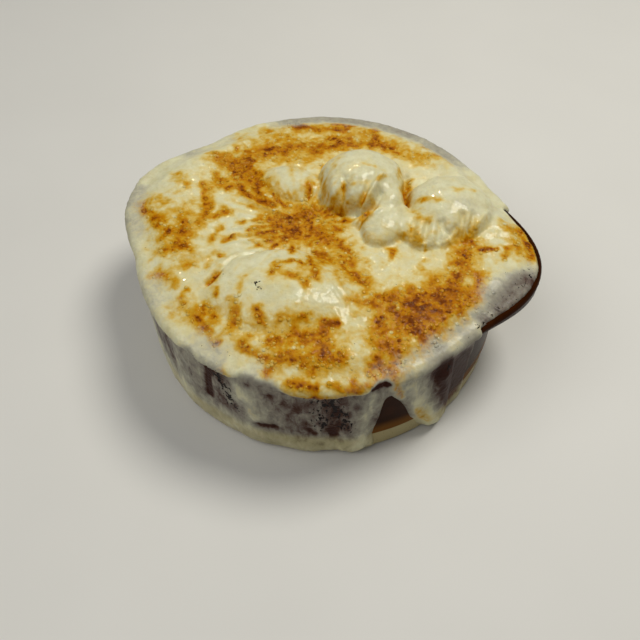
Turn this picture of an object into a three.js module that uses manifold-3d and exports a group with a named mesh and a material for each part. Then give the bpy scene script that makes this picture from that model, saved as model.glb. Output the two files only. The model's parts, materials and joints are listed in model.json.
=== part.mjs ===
// French onion soup baked in a low stoneware crock with two tab handles.
// Millimetres, +Z up. The origin is the centre of the crock's flat foot, and the handles lie along X.
//
// There are two solids. The crock is a hollow bowl with a thickened lip. The food is one solid: soup and
// bread fill the bowl, and the melted cheese over them rises in lumps, rolls over the lip and both handles
// and clings to the outer wall as a skin with drips, down to the table at the front.

import * as THREE from "three";
import { mergeVertices } from "three/addons/utils/BufferGeometryUtils.js";
import Module from "manifold-3d";

const wasm = await Module();
wasm.setup();

// ---- Driving dimensions ----

const CROCK = {
  height: 41,
  rimRadius: 63,
  wallRadius: 62.8,
  footRound: 1.5,
  wall: 4.4,
  floor: 5,
  innerRound: 9,
  lipDepth: 3.4,
  lipRound: 2.1,
  lipUnderRound: 1,
  segments: 64,
};

// The tab handles, of which the right one is the more pointed: direction, reach out of the rim, half of the
// angle that they spread over and how pointed they are.
const HANDLES = [
  { angle: 1, reach: 11.5, halfAngle: 37, sharpness: 2.3 },
  { angle: 174, reach: 8.9, halfAngle: 29, sharpness: 1.3 },
];
const HANDLE_REACH = Math.max(...HANDLES.map((handle) => handle.reach));
const HANDLE_DEPTH = 6.2;

const CHEESE = {
  skin: 1.4,
  level: 44,
  edgeLevel: 42.1,
  edgeBlend: 8,
  edgeInset: 0.8,
  rings: 15,
  segments: 64,
};

// Clearance between the crock and what it holds.
const GAP = 0.3;

// Corners that are closer together than this are one corner.
const SAME_POINT = 1e-4;

// Lumps of melted cheese that stand out of the top: centre, half widths, height above the level, turn in
// degrees, how far the lump's own middle is sunk below the level, and its flatness, which is 1 for a true
// ball and less than 1 for a flat top and steep sides.
const LUMPS = [
  { x: 8.5, y: 22.5, wide: 15.5, deep: 15, rise: 10.3, turn: 0, sunk: 1.5, flatness: 0.8 },
  { x: 41, y: 17.5, wide: 15, deep: 15.5, rise: 8, turn: -10, sunk: 2.5, flatness: 0.8 },
  { x: 20, y: 7, wide: 7.5, deep: 12, rise: 5, turn: -8, sunk: 2, flatness: 0.6 },
  { x: 19.5, y: 15.5, wide: 5.5, deep: 9, rise: 6.8, turn: 0, sunk: 2, flatness: 0.8 },
  { x: 34, y: 6.5, wide: 10.5, deep: 8.5, rise: 4.6, turn: 0, sunk: 2, flatness: 0.6 },
  { x: -8, y: -30, wide: 25, deep: 17, rise: 5.6, turn: 4, sunk: 4, flatness: 1 },
  { x: -16, y: 18.5, wide: 11, deep: 8, rise: 3.4, turn: -8, sunk: 3, flatness: 0.8 },
];

// Number of sides of a lump's ball, around and from pole to pole.
const LUMP_SIDES = { around: 22, upright: 14 };

// Broad soft swells (positive) and hollows (negative) of the top between the lumps.
const SWELLS = [
  { x: -6, y: 0, wide: 13, deep: 9, rise: -2.2 },
  { x: -2, y: 47, wide: 34, deep: 7, rise: -0.9 },
  { x: 30, y: -5, wide: 9, deep: 4, rise: -1.2 },
  { x: 38, y: -26, wide: 18, deep: 14, rise: 1.2 },
  { x: -46, y: -6, wide: 12, deep: 20, rise: 1.2 },
  { x: 6, y: -51, wide: 22, deep: 6, rise: 0.8 },
  { x: 12, y: -31, wide: 12, deep: 11, rise: 1.6 },
];

// Thick cheese along the rim: middle angle, half angle and rise.
const RIM_SWELLS = [
  { angle: 34, halfAngle: 26, rise: 3 },
  { angle: 162, halfAngle: 20, rise: 1.8 },
];
const RIM_SWELL_RADIUS = 56;
const RIM_SWELL_WIDTH = 6;

// Tongues of cheese that run down the outer wall from the lip: angle, height of the lower end, half width and
// how far the tongue stands out of the skin.
const TONGUES = [
  { angle: -68.5, bottom: 0.6, wide: 5.5, proud: 1.2 },
  { angle: -40.5, bottom: 0.6, wide: 5.5, proud: 2.2 },
  { angle: -98, bottom: 0.8, wide: 8, proud: 0.6 },
  { angle: -121, bottom: 0.8, wide: 9, proud: 0.7 },
  { angle: 41, bottom: 11, wide: 5, proud: 1 },
  { angle: 67, bottom: 6, wide: 6.5, proud: 1.2 },
  { angle: 103, bottom: 12, wide: 4.5, proud: 0.8 },
  { angle: 128, bottom: 5, wide: 7, proud: 1.1 },
  { angle: 158, bottom: 10, wide: 5, proud: 0.9 },
];
const TONGUE = { letIn: 0.9, neck: 0.55, taper: 3, sides: 14 };

// Lower edge of the skin: close to the table at the front, ragged and higher round the back. Round the bare
// right handle it stays up on the lip.
const HEM = {
  front: 1.2,
  back: 22,
  frontFrom: -172,
  frontTo: -28,
  fade: 14,
  waves: [
    { count: 5, size: 3.2, shift: 0.6 },
    { count: 9, size: 2.4, shift: 2 },
    { count: 17, size: 1, shift: 0 },
  ],
  bare: { angle: -4, halfAngle: 20, fade: 6, height: 39.8 },
};

// How far the space for the outer skin reaches past the handles, over the lip and into the bowl.
const REGION = { past: 10, over: 5, inwards: 15 };

// The one place at the front where the skin parts over the bare wall.
const ARCH = {
  angle: -53,
  left: -8.6,
  shoulder: 25,
  peak: -6.6,
  height: 32.4,
  hip: { x: -2.4, z: 28 },
  waist: { x: 2.2, z: 15 },
  right: 9.8,
  below: 5,
  cutFrom: 60.4,
  cutTo: 72,
};

// ---- Helpers ----

const radians = THREE.MathUtils.degToRad;

const smooth = (edge0, edge1, value) => THREE.MathUtils.smoothstep(value, edge0, edge1);

// Signed difference of two angles in degrees, from -180 to 180.
const angleBetween = (a, b) => ((((a - b) % 360) + 540) % 360) - 180;

// Makes a manifold solid from a closed three.js geometry, without the flat triangles at its poles.
function solid(geometry) {
  const bare = geometry.clone();
  bare.deleteAttribute("normal");
  bare.deleteAttribute("uv");
  const merged = mergeVertices(bare, SAME_POINT);
  const corners = merged.index.array;
  const kept = [];
  for (let first = 0; first < corners.length; first += 3) {
    const [a, b, c] = corners.slice(first, first + 3);
    if (a !== b && b !== c && c !== a) kept.push(a, b, c);
  }
  const mesh = new wasm.Mesh({
    numProp: 3,
    vertProperties: merged.attributes.position.array,
    triVerts: new Uint32Array(kept),
  });
  return new wasm.Manifold(mesh);
}

// Makes a three.js geometry from a manifold solid.
function geometryOf(body) {
  const mesh = body.getMesh();
  const geometry = new THREE.BufferGeometry();
  geometry.setAttribute("position", new THREE.BufferAttribute(new Float32Array(mesh.vertProperties), 3));
  geometry.setIndex(new THREE.BufferAttribute(new Uint32Array(mesh.triVerts), 1));
  const flat = geometry.toNonIndexed();
  flat.computeVertexNormals();
  return flat;
}

// A closed solid from rings that run outwards over the top and back in underneath.
// Each ring is a function of an angle in radians that gives a point; the ends are points on the axis.
function ringSolid(top, rings, bottom, segments) {
  const points = [top];
  for (const ring of rings) {
    for (let step = 0; step < segments; step++) {
      points.push(ring((2 * Math.PI * step) / segments));
    }
  }
  points.push(bottom);
  const last = points.length - 1;
  const at = (ring, step) => 1 + ring * segments + (step % segments);
  const faces = [];
  for (let step = 0; step < segments; step++) {
    faces.push(0, at(0, step), at(0, step + 1));
    faces.push(last, at(rings.length - 1, step + 1), at(rings.length - 1, step));
    for (let ring = 0; ring + 1 < rings.length; ring++) {
      faces.push(at(ring, step), at(ring + 1, step), at(ring + 1, step + 1));
      faces.push(at(ring, step), at(ring + 1, step + 1), at(ring, step + 1));
    }
  }
  const geometry = new THREE.BufferGeometry().setFromPoints(points);
  geometry.setIndex(faces);
  return solid(geometry);
}

// A point at an angle, radius and height.
const polar = (angle, radius, z) => {
  return new THREE.Vector3(radius * Math.cos(angle), radius * Math.sin(angle), z);
};

// ---- Crock ----

// How far a handle stands out of the rim at an angle in degrees from the +X axis.
function handleReach(degrees) {
  for (const handle of HANDLES) {
    const away = Math.abs(angleBetween(degrees, handle.angle));
    if (away < handle.halfAngle) {
      const across = Math.cos(((Math.PI / 2) * away) / handle.halfAngle);
      return handle.reach * across ** handle.sharpness;
    }
  }
  return 0;
}

// Adds an arc's points to a section's outline; angles are in degrees and run from 0 outwards to 90 upwards.
function addArc(points, x, z, radius, from, to, steps) {
  for (let step = 0; step <= steps; step++) {
    const turn = radians(from + ((to - from) * step) / steps);
    points.push(new THREE.Vector2(x + radius * Math.cos(turn), z + radius * Math.sin(turn)));
  }
}

// A solid of revolution about Z from a section outline that starts and ends on the axis.
const turned = (outline) => solid(new THREE.LatheGeometry(outline, CROCK.segments).rotateX(Math.PI / 2));

// The bowl's outside below the lip, as a full body. grow moves every face outwards by the same distance.
function bowlBody(grow) {
  const top = CROCK.height - CROCK.lipRound;
  const outline = [new THREE.Vector2(0, -grow)];
  const footAxis = CROCK.wallRadius - CROCK.footRound;
  addArc(outline, footAxis, CROCK.footRound, CROCK.footRound + grow, -90, 0, 3);
  outline.push(new THREE.Vector2(CROCK.wallRadius + grow, top));
  outline.push(new THREE.Vector2(0, top));
  return turned(outline);
}

// The lip with both handles, as a full disc with rounded edges. It is deepest at the handles' tips.
function lipDisc(grow) {
  const reachAt = (angle) => handleReach(THREE.MathUtils.radToDeg(angle));
  const lowAt = (angle) => {
    const share = reachAt(angle) / HANDLE_REACH;
    return CROCK.height - THREE.MathUtils.lerp(CROCK.lipDepth, HANDLE_DEPTH, share);
  };
  const rounded = (angle, centreZ, radius, turn) => {
    const centre = CROCK.rimRadius + reachAt(angle) - radius;
    const around = radians(turn);
    const out = radius + grow;
    return polar(angle, centre + out * Math.cos(around), centreZ + out * Math.sin(around));
  };
  const rings = [];
  for (const turn of [90, 60, 30, 0]) {
    rings.push((angle) => rounded(angle, CROCK.height - CROCK.lipRound, CROCK.lipRound, turn));
  }
  for (const turn of [0, -45, -90]) {
    const radius = CROCK.lipUnderRound;
    rings.push((angle) => rounded(angle, lowAt(angle) + radius, radius, turn));
  }
  const root = CROCK.rimRadius - CROCK.wall / 2;
  rings.push((angle) => polar(angle, root, lowAt(angle) - grow));
  const top = new THREE.Vector3(0, 0, CROCK.height + grow);
  return ringSolid(top, rings, new THREE.Vector3(0, 0, lowAt(Math.PI / 2) - grow), CROCK.segments);
}

// The bowl's hollow, with the lip's rounded inner edge at its mouth.
function cavity(grow) {
  const mouth = CROCK.rimRadius - CROCK.wall;
  const floorAxis = CROCK.wallRadius - CROCK.wall - CROCK.innerRound;
  const outline = [new THREE.Vector2(0, CROCK.floor + grow)];
  addArc(outline, floorAxis, CROCK.floor + CROCK.innerRound, CROCK.innerRound - grow, -90, 0, 4);
  const lipZ = CROCK.height - CROCK.lipRound;
  addArc(outline, mouth + CROCK.lipRound, lipZ, CROCK.lipRound + grow, 180, 90, 4);
  const above = CROCK.height + REGION.over;
  outline.push(new THREE.Vector2(mouth + CROCK.lipRound, above));
  outline.push(new THREE.Vector2(0, above));
  return turned(outline);
}

const crockSolid = (grow) => bowlBody(grow).add(lipDisc(grow)).subtract(cavity(grow));

// ---- Food ----

// Height of the cheese between the lumps at a place on the top, before it bends down to the rim.
function cheeseHeight(x, y) {
  let height = CHEESE.level;
  for (const swell of SWELLS) {
    const across = (x - swell.x) / swell.wide;
    const along = (y - swell.y) / swell.deep;
    height += swell.rise * Math.exp(-(across * across + along * along));
  }
  const radius = Math.hypot(x, y);
  const degrees = THREE.MathUtils.radToDeg(Math.atan2(y, x));
  for (const swell of RIM_SWELLS) {
    const around = angleBetween(degrees, swell.angle) / swell.halfAngle;
    const across = (radius - RIM_SWELL_RADIUS) / RIM_SWELL_WIDTH;
    height += swell.rise * Math.exp(-(around * around + across * across));
  }
  return height;
}

// One lump: a ball, flattened at its top and stretched to its half widths, with its middle below the level.
function lumpSolid(lump) {
  const sunk = (lump.sunk / (lump.rise + lump.sunk)) ** (1 / lump.flatness);
  const spread = 1 / Math.sqrt(1 - sunk * sunk);
  const ball = new THREE.SphereGeometry(1, LUMP_SIDES.around, LUMP_SIDES.upright).rotateX(Math.PI / 2);
  const places = ball.getAttribute("position");
  for (let index = 0; index < places.count; index++) {
    const height = places.getZ(index);
    places.setZ(index, Math.sign(height) * Math.abs(height) ** lump.flatness);
  }
  ball.scale(lump.wide * spread, lump.deep * spread, lump.rise + lump.sunk);
  ball.rotateZ(radians(lump.turn));
  ball.translate(lump.x, lump.y, CHEESE.level - lump.sunk);
  return solid(ball);
}

// Outer edge of the top mass: just inside the lip and the handles' edges.
function topRadius(angle) {
  return CROCK.rimRadius + handleReach(THREE.MathUtils.radToDeg(angle)) - CHEESE.edgeInset;
}

function topMass() {
  const rings = [];
  for (let ring = 1; ring <= CHEESE.rings; ring++) {
    const share = ring / CHEESE.rings;
    rings.push((angle) => {
      const edge = topRadius(angle);
      const point = polar(angle, edge * share, 0);
      const inwards = smooth(0, CHEESE.edgeBlend, edge * (1 - share));
      point.z = THREE.MathUtils.lerp(CHEESE.edgeLevel, cheeseHeight(point.x, point.y), inwards);
      return point;
    });
  }
  const under = CROCK.height - CROCK.wall / 2;
  rings.push((angle) => polar(angle, topRadius(angle), under));
  const peak = new THREE.Vector3(0, 0, cheeseHeight(0, 0));
  return ringSolid(peak, rings, new THREE.Vector3(0, 0, under), CHEESE.segments);
}

// Soup and bread: everything inside the bowl, out to the middle of its wall.
function filling() {
  const radius = CROCK.wallRadius - CROCK.wall / 2;
  const top = CROCK.height - CROCK.lipRound / 2;
  const middle = CROCK.floor / 2;
  return turned([
    new THREE.Vector2(0, middle),
    new THREE.Vector2(radius, middle),
    new THREE.Vector2(radius, top),
    new THREE.Vector2(0, top),
  ]);
}

// Height of the skin's lower edge at an angle.
function hemHeight(angle) {
  const degrees = THREE.MathUtils.radToDeg(angle);
  const middle = (HEM.frontFrom + HEM.frontTo) / 2;
  const halfWidth = (HEM.frontTo - HEM.frontFrom) / 2;
  const away = Math.abs(angleBetween(degrees, middle)) - halfWidth;
  let back = HEM.back;
  for (const wave of HEM.waves) back += wave.size * Math.sin(wave.count * angle + wave.shift);
  const hem = THREE.MathUtils.lerp(HEM.front, back, smooth(0, HEM.fade, away));
  const fromBare = Math.abs(angleBetween(degrees, HEM.bare.angle)) - HEM.bare.halfAngle;
  return THREE.MathUtils.lerp(HEM.bare.height, hem, smooth(0, HEM.bare.fade, fromBare));
}

// The space in which the skin on the outer wall is kept.
function skinRegion() {
  const outside = CROCK.rimRadius + HANDLE_REACH + REGION.past;
  const inside = CROCK.rimRadius - REGION.inwards;
  const over = CROCK.height + REGION.over;
  const rings = [
    (angle) => polar(angle, outside, over),
    (angle) => polar(angle, outside, hemHeight(angle)),
    (angle) => polar(angle, inside, hemHeight(angle)),
  ];
  return ringSolid(new THREE.Vector3(0, 0, over), rings, new THREE.Vector3(0, 0, 0), CHEESE.segments);
}

// One tongue: a flattened drop that hangs from the lip and is let into the skin, so only its bulb stands out.
function tongueSolid(tongue) {
  const top = CROCK.height - CROCK.lipRound;
  const bulb = tongue.bottom + tongue.wide;
  const outline = [];
  addArc(outline, 0, bulb, tongue.wide, -90, 0, 4);
  outline[0].x = 0;
  outline.push(new THREE.Vector2(TONGUE.neck * tongue.wide, top - TONGUE.taper));
  outline.push(new THREE.Vector2(0, top));
  const drop = new THREE.LatheGeometry(outline, TONGUE.sides).rotateX(Math.PI / 2);
  const depth = CHEESE.skin + tongue.proud + TONGUE.letIn;
  drop.scale(depth / tongue.wide, 1, 1);
  drop.translate(CROCK.wallRadius - TONGUE.letIn, 0, 0);
  drop.rotateZ(radians(tongue.angle));
  return solid(drop);
}

// The parting in the skin, as a block that is cut away down to the wall.
function archCutter() {
  const outline = new THREE.Shape();
  outline.moveTo(ARCH.left, -ARCH.below);
  outline.lineTo(ARCH.right, -ARCH.below);
  outline.lineTo(ARCH.right, 0);
  outline.quadraticCurveTo(ARCH.waist.x, ARCH.waist.z, ARCH.hip.x, ARCH.hip.z);
  outline.quadraticCurveTo(ARCH.hip.x, ARCH.height, ARCH.peak, ARCH.height);
  outline.quadraticCurveTo(ARCH.left, ARCH.height, ARCH.left, ARCH.shoulder);
  const block = new THREE.ExtrudeGeometry(outline, {
    depth: ARCH.cutTo - ARCH.cutFrom,
    bevelEnabled: false,
    curveSegments: 6,
  });
  const toWall = new THREE.Matrix4().makeBasis(
    new THREE.Vector3(0, 1, 0),
    new THREE.Vector3(0, 0, 1),
    new THREE.Vector3(1, 0, 0),
  );
  block.applyMatrix4(toWall);
  block.translate(ARCH.cutFrom, 0, 0);
  block.rotateZ(radians(ARCH.angle));
  return solid(block);
}

function foodSolid() {
  let body = crockSolid(CHEESE.skin).intersect(skinRegion());
  for (const tongue of TONGUES) body = body.add(tongueSolid(tongue));
  body = body.subtract(archCutter()).add(topMass());
  for (const lump of LUMPS) body = body.add(lumpSolid(lump));
  return body.add(filling()).subtract(crockSolid(GAP));
}

// ---- The model ----

const glaze = new THREE.MeshStandardMaterial({ color: 0x2a140a, roughness: 0.2, metalness: 0 });
const cheese = new THREE.MeshStandardMaterial({ color: 0xd9d2a8, roughness: 0.4, metalness: 0 });

const crock = new THREE.Mesh(geometryOf(crockSolid(0)), glaze);
crock.name = "crock";

const food = new THREE.Mesh(geometryOf(foodSolid()), cheese);
food.name = "cheese_topped_soup";

const group = new THREE.Group();
group.add(crock, food);

export default group;
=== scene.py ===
"""French onion soup: a low stoneware crock under a lid of browned, melted cheese. Metres, +Z up."""

import itertools
import json
import logging
import math
from collections.abc import Iterable
from dataclasses import dataclass, field
from enum import Enum

import bpy
import numpy as np
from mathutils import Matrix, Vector

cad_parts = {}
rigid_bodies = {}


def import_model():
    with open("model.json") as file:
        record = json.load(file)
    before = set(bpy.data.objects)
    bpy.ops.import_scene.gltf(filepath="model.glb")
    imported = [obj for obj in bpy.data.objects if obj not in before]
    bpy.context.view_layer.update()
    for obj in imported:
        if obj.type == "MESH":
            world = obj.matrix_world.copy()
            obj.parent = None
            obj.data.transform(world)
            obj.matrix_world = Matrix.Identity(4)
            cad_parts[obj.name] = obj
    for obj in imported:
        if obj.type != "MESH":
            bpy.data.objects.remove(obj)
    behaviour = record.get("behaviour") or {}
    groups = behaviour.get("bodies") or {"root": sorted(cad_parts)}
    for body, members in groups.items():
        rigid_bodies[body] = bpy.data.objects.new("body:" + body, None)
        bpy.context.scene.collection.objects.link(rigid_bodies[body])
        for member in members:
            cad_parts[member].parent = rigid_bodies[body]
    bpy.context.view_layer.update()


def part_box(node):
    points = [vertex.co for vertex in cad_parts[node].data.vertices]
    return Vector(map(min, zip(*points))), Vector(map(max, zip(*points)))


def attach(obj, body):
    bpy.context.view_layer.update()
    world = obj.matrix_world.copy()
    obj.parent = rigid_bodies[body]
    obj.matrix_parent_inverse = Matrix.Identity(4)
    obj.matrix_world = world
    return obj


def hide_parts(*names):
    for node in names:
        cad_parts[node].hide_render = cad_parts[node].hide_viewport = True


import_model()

LOG = logging.getLogger("onion_soup")

# Sizes in this script are millimetres, and meshes are metres.
MM = 0.001

# The least length that is divided by.
TINY = 1e-9

Piece = bpy.types.Object
Values = np.ndarray
Length = float | Values
Point = tuple[float, float]
Triple = tuple[float, float, float]


# ---- Small helpers ----


def lerp(start: float, end: float, share: Values) -> Values:
    """Goes from start to end as share goes from 0 to 1."""
    return start + (end - start) * share


def smooth(edge0: float, edge1: float, value: Values) -> Values:
    """Rises smoothly from 0 at edge0 to 1 at edge1."""
    share = np.clip((value - edge0) / (edge1 - edge0), 0.0, 1.0)
    return share * share * (3.0 - 2.0 * share)


def angle_between(one: Values, other: float) -> Values:
    """Signed difference of two angles in degrees, from -180 to 180."""
    return (one - other + 540.0) % 360.0 - 180.0


def linear(code: str) -> tuple[float, float, float, float]:
    """Turns a screen colour such as "#d9d6b3" into linear light for a shader.

    Args:
        code: the colour as a hash sign and six hexadecimal digits.

    Returns:
        Red, green, blue and an alpha of 1.
    """
    channels = [int(code[place:place + 2], 16) / 255 for place in (1, 3, 5)]
    light = [c / 12.92 if c <= 0.04045 else ((c + 0.055) / 1.055) ** 2.4 for c in channels]
    return (light[0], light[1], light[2], 1.0)


def deselect_all() -> None:
    """Clears the selection, because an operator acts on all that is selected."""
    bpy.ops.object.select_all(action="DESELECT")


def select_only(piece: Piece) -> None:
    """Selects one object and makes it the active one."""
    deselect_all()
    piece.select_set(True)
    bpy.context.view_layer.objects.active = piece


def points_of(piece: Piece) -> Values:
    """Reads a mesh's vertices in millimetres.

    Args:
        piece: a mesh object at the origin.

    Returns:
        An array with one row of x, y and z for each vertex.
    """
    flat = np.empty(len(piece.data.vertices) * 3)
    piece.data.vertices.foreach_get("co", flat)
    return flat.reshape(-1, 3) / MM


def move_points(piece: Piece, points: Values) -> None:
    """Puts a mesh's vertices at new places, given in millimetres."""
    piece.data.vertices.foreach_set("co", (points * MM).ravel())
    piece.data.update()


def normals_of(piece: Piece) -> Values:
    """Reads the way that each vertex of a mesh faces, as rows of x, y and z."""
    flat = np.empty(len(piece.data.vertices) * 3)
    piece.data.vertices.foreach_get("normal", flat)
    return flat.reshape(-1, 3)


def store(piece: Piece, name: str, values: Values) -> None:
    """Keeps a number for each vertex under a name, for the materials to read."""
    layer = piece.data.attributes.new(name, "FLOAT", "POINT")
    layer.data.foreach_set("value", values.astype(np.float32))


def stored(piece: Piece, name: str) -> Values:
    """Reads a number that a mesh keeps for each vertex."""
    values = np.empty(len(piece.data.vertices))
    piece.data.attributes[name].data.foreach_get("value", values)
    return values


def select_points(piece: Piece, chosen: Values) -> None:
    """Selects the vertices of a mesh that a mask picks, and nothing else, for the next operator.

    Args:
        piece: a mesh object in object mode.
        chosen: one truth value for each vertex.
    """
    mesh = piece.data
    mesh.polygons.foreach_set("select", np.zeros(len(mesh.polygons), dtype=bool))
    mesh.edges.foreach_set("select", np.zeros(len(mesh.edges), dtype=bool))
    mesh.vertices.foreach_set("select", chosen)
    bpy.ops.object.mode_set(mode="EDIT")
    bpy.ops.mesh.select_mode(type="VERT")


def open_edge(piece: Piece) -> Values:
    """Marks the vertices on a sheet's cut edge."""
    select_points(piece, np.ones(len(piece.data.vertices), dtype=bool))
    bpy.ops.mesh.region_to_loop()
    bpy.ops.object.mode_set(mode="OBJECT")
    chosen = np.zeros(len(piece.data.vertices), dtype=bool)
    piece.data.vertices.foreach_get("select", chosen)
    return chosen


def drop_scraps(piece: Piece) -> None:
    """Deletes what a cut left loose round the sheet's middle part."""
    points = points_of(piece)
    away = np.hypot(points[:, 0], points[:, 1])
    select_points(piece, away == away.min())
    bpy.ops.mesh.select_linked()
    bpy.ops.mesh.select_all(action="INVERT")
    bpy.ops.mesh.delete(type="VERT")
    bpy.ops.object.mode_set(mode="OBJECT")


def smooth_shading(piece: Piece, angle: float = 60.0) -> None:
    """Shades a piece smooth, but keeps edges sharper than an angle in degrees."""
    select_only(piece)
    bpy.ops.object.shade_smooth_by_angle(angle=math.radians(angle))


def arc(out: Length, height: Length, radius: Length, turns: Iterable[float]) -> list[tuple[Length, Length]]:
    """Lists points on an arc of a section.

    Args:
        out: the arc's centre, as its distance from the axis.
        height: the height of the centre.
        radius: the arc's radius.
        turns: the points' angles in degrees, from 0 outwards to 90 upwards.

    Returns:
        Each point's distance from the axis and its height.
    """
    angles = [math.radians(turn) for turn in turns]
    return [(out + radius * math.cos(angle), height + radius * math.sin(angle)) for angle in angles]


def to_segment(x: Values, y: Values, start: Point, end: Point) -> Values:
    """Gives the distance of some places from the straight line between two points."""
    step = (end[0] - start[0], end[1] - start[1])
    length = max(step[0] ** 2 + step[1] ** 2, TINY)
    share = np.clip(((x - start[0]) * step[0] + (y - start[1]) * step[1]) / length, 0.0, 1.0)
    return np.hypot(x - start[0] - share * step[0], y - start[1] - share * step[1])


# ---- Fields: noise, spots and strokes ----


class Noise:
    """Seeded gradient noise from about -1 to 1, the same each run."""

    CELLS = 32
    GAIN = 1.6

    def __init__(self, seed: int) -> None:
        """Draws the lattice's slopes."""
        slopes = np.random.default_rng(seed).normal(size=(self.CELLS, self.CELLS, self.CELLS, 3))
        self.slopes = slopes / np.linalg.norm(slopes, axis=-1, keepdims=True)

    def at(self, points: Values, size: float) -> Values:
        """Gives the noise at some points.

        Args:
            points: rows of x, y and z.
            size: the width of the noise's humps, in the points' own unit.

        Returns:
            One number for each point.
        """
        scaled = points / size
        base = np.floor(scaled).astype(int)
        local = scaled - base
        fade = local ** 3 * (local * (local * 6.0 - 15.0) + 10.0)
        total = np.zeros(len(points))
        for corner in itertools.product((0, 1), repeat=3):
            cell = (base + corner) % self.CELLS
            slope = self.slopes[cell[:, 0], cell[:, 1], cell[:, 2]]
            weight = np.prod(np.where(corner, fade, 1.0 - fade), axis=1)
            total += weight * np.sum(slope * (local - corner), axis=1)
        return total * self.GAIN


@dataclass(frozen=True)
class Ripple:
    """Noise of one kind: the width of its humps and how strong it is."""

    size: float
    depth: float

    def at(self, noise: Noise, points: Values) -> Values:
        """Gives the ripple at some points."""
        return self.depth * noise.at(points, self.size)


@dataclass(frozen=True)
class Wave:
    """A wave round the crock: its height, how many times it rises in a round, and its shift in radians."""

    height: float
    count: int
    shift: float = 0.0

    def at(self, turn: Values) -> Values:
        """Gives the wave at some angles in radians."""
        return self.height * np.sin(self.count * turn + self.shift)


def rows(x: Length, y: Length, z: Length = 0.0) -> Values:
    """Puts places into rows of x, y and z for the noise."""
    return np.stack(np.broadcast_arrays(x, y, z), axis=1)


@dataclass(frozen=True)
class Swell:
    """A soft oval rise or hollow: centre, half widths and height."""

    x: float
    y: float
    wide: float
    deep: float
    rise: float

    def at(self, x: Values, y: Values) -> Values:
        """Gives the rise at some places."""
        across = (x - self.x) / self.wide
        along = (y - self.y) / self.deep
        return self.rise * np.exp(-(across * across + along * along))


@dataclass(frozen=True)
class RimSwell:
    """A soft rise along the rim: its angle, half its spread in degrees and its height."""

    angle: float
    half_angle: float
    rise: float
    radius: float = 56.0
    width: float = 6.0

    def at(self, degrees: Values, radius: Values) -> Values:
        """Gives the rise at some angles and distances from the middle."""
        around = angle_between(degrees, self.angle) / self.half_angle
        across = (radius - self.radius) / self.width
        return self.rise * np.exp(-(around * around + across * across))


class Stroke:
    """A soft-edged line or spot: width, strength at its middle and the points it runs through."""

    def __init__(self, width: float, strength: float, *way: Point) -> None:
        """Keeps the line; one point makes a round spot."""
        self.width = width
        self.strength = strength
        self.way = way

    def distance(self, x: Values, y: Values) -> Values:
        """Gives the distance from the line at some places."""
        nearest = np.hypot(x - self.way[0][0], y - self.way[0][1])
        for start, end in itertools.pairwise(self.way):
            nearest = np.minimum(nearest, to_segment(x, y, start, end))
        return nearest

    def at(self, x: Values, y: Values, spread: float = 1.0) -> Values:
        """Gives the stroke's strength at some places, with its width made larger by the spread."""
        return self.strength * np.exp(-(self.distance(x, y) / (self.width * spread)) ** 2)


def painted(strokes: tuple[Stroke, ...], x: Values, y: Values) -> Values:
    """Adds up strokes at some places.

    Args:
        strokes: the strokes to add.
        x: places from left to right.
        y: places from front to back.

    Returns:
        The sum of the strokes' strengths at each place.
    """
    total = np.zeros_like(x)
    for stroke in strokes:
        total += stroke.at(x, y)
    return total


def patched(strokes: tuple[Stroke, ...], x: Values, y: Values, spread: float = 1.0) -> Values:
    """Joins strokes at some places without adding up where they overlap.

    Args:
        strokes: the strokes to join; what one has above a strength of 1 is added on top.
        x: places from left to right.
        y: places from front to back.
        spread: how many times as wide as given the strokes are.

    Returns:
        The joined strength at each place, mostly from 0 to 1.
    """
    left = np.ones_like(x)
    above = np.zeros_like(x)
    for stroke in strokes:
        value = stroke.at(x, y, spread)
        share = min(1.0, 1.0 / stroke.strength)
        left *= 1.0 - value * share
        above += value * (1.0 - share)
    return 1.0 - left + above


# ---- Shader building ----


Socket = bpy.types.NodeSocket


@dataclass(frozen=True)
class Grain:
    """Noise in a material: its humps' width in millimetres, its detail, its warp and how tall it is."""

    size: float
    detail: float = 3.0
    rough: float = 0.55
    warp: float = 0.0
    tall: float = 1.0


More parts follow.
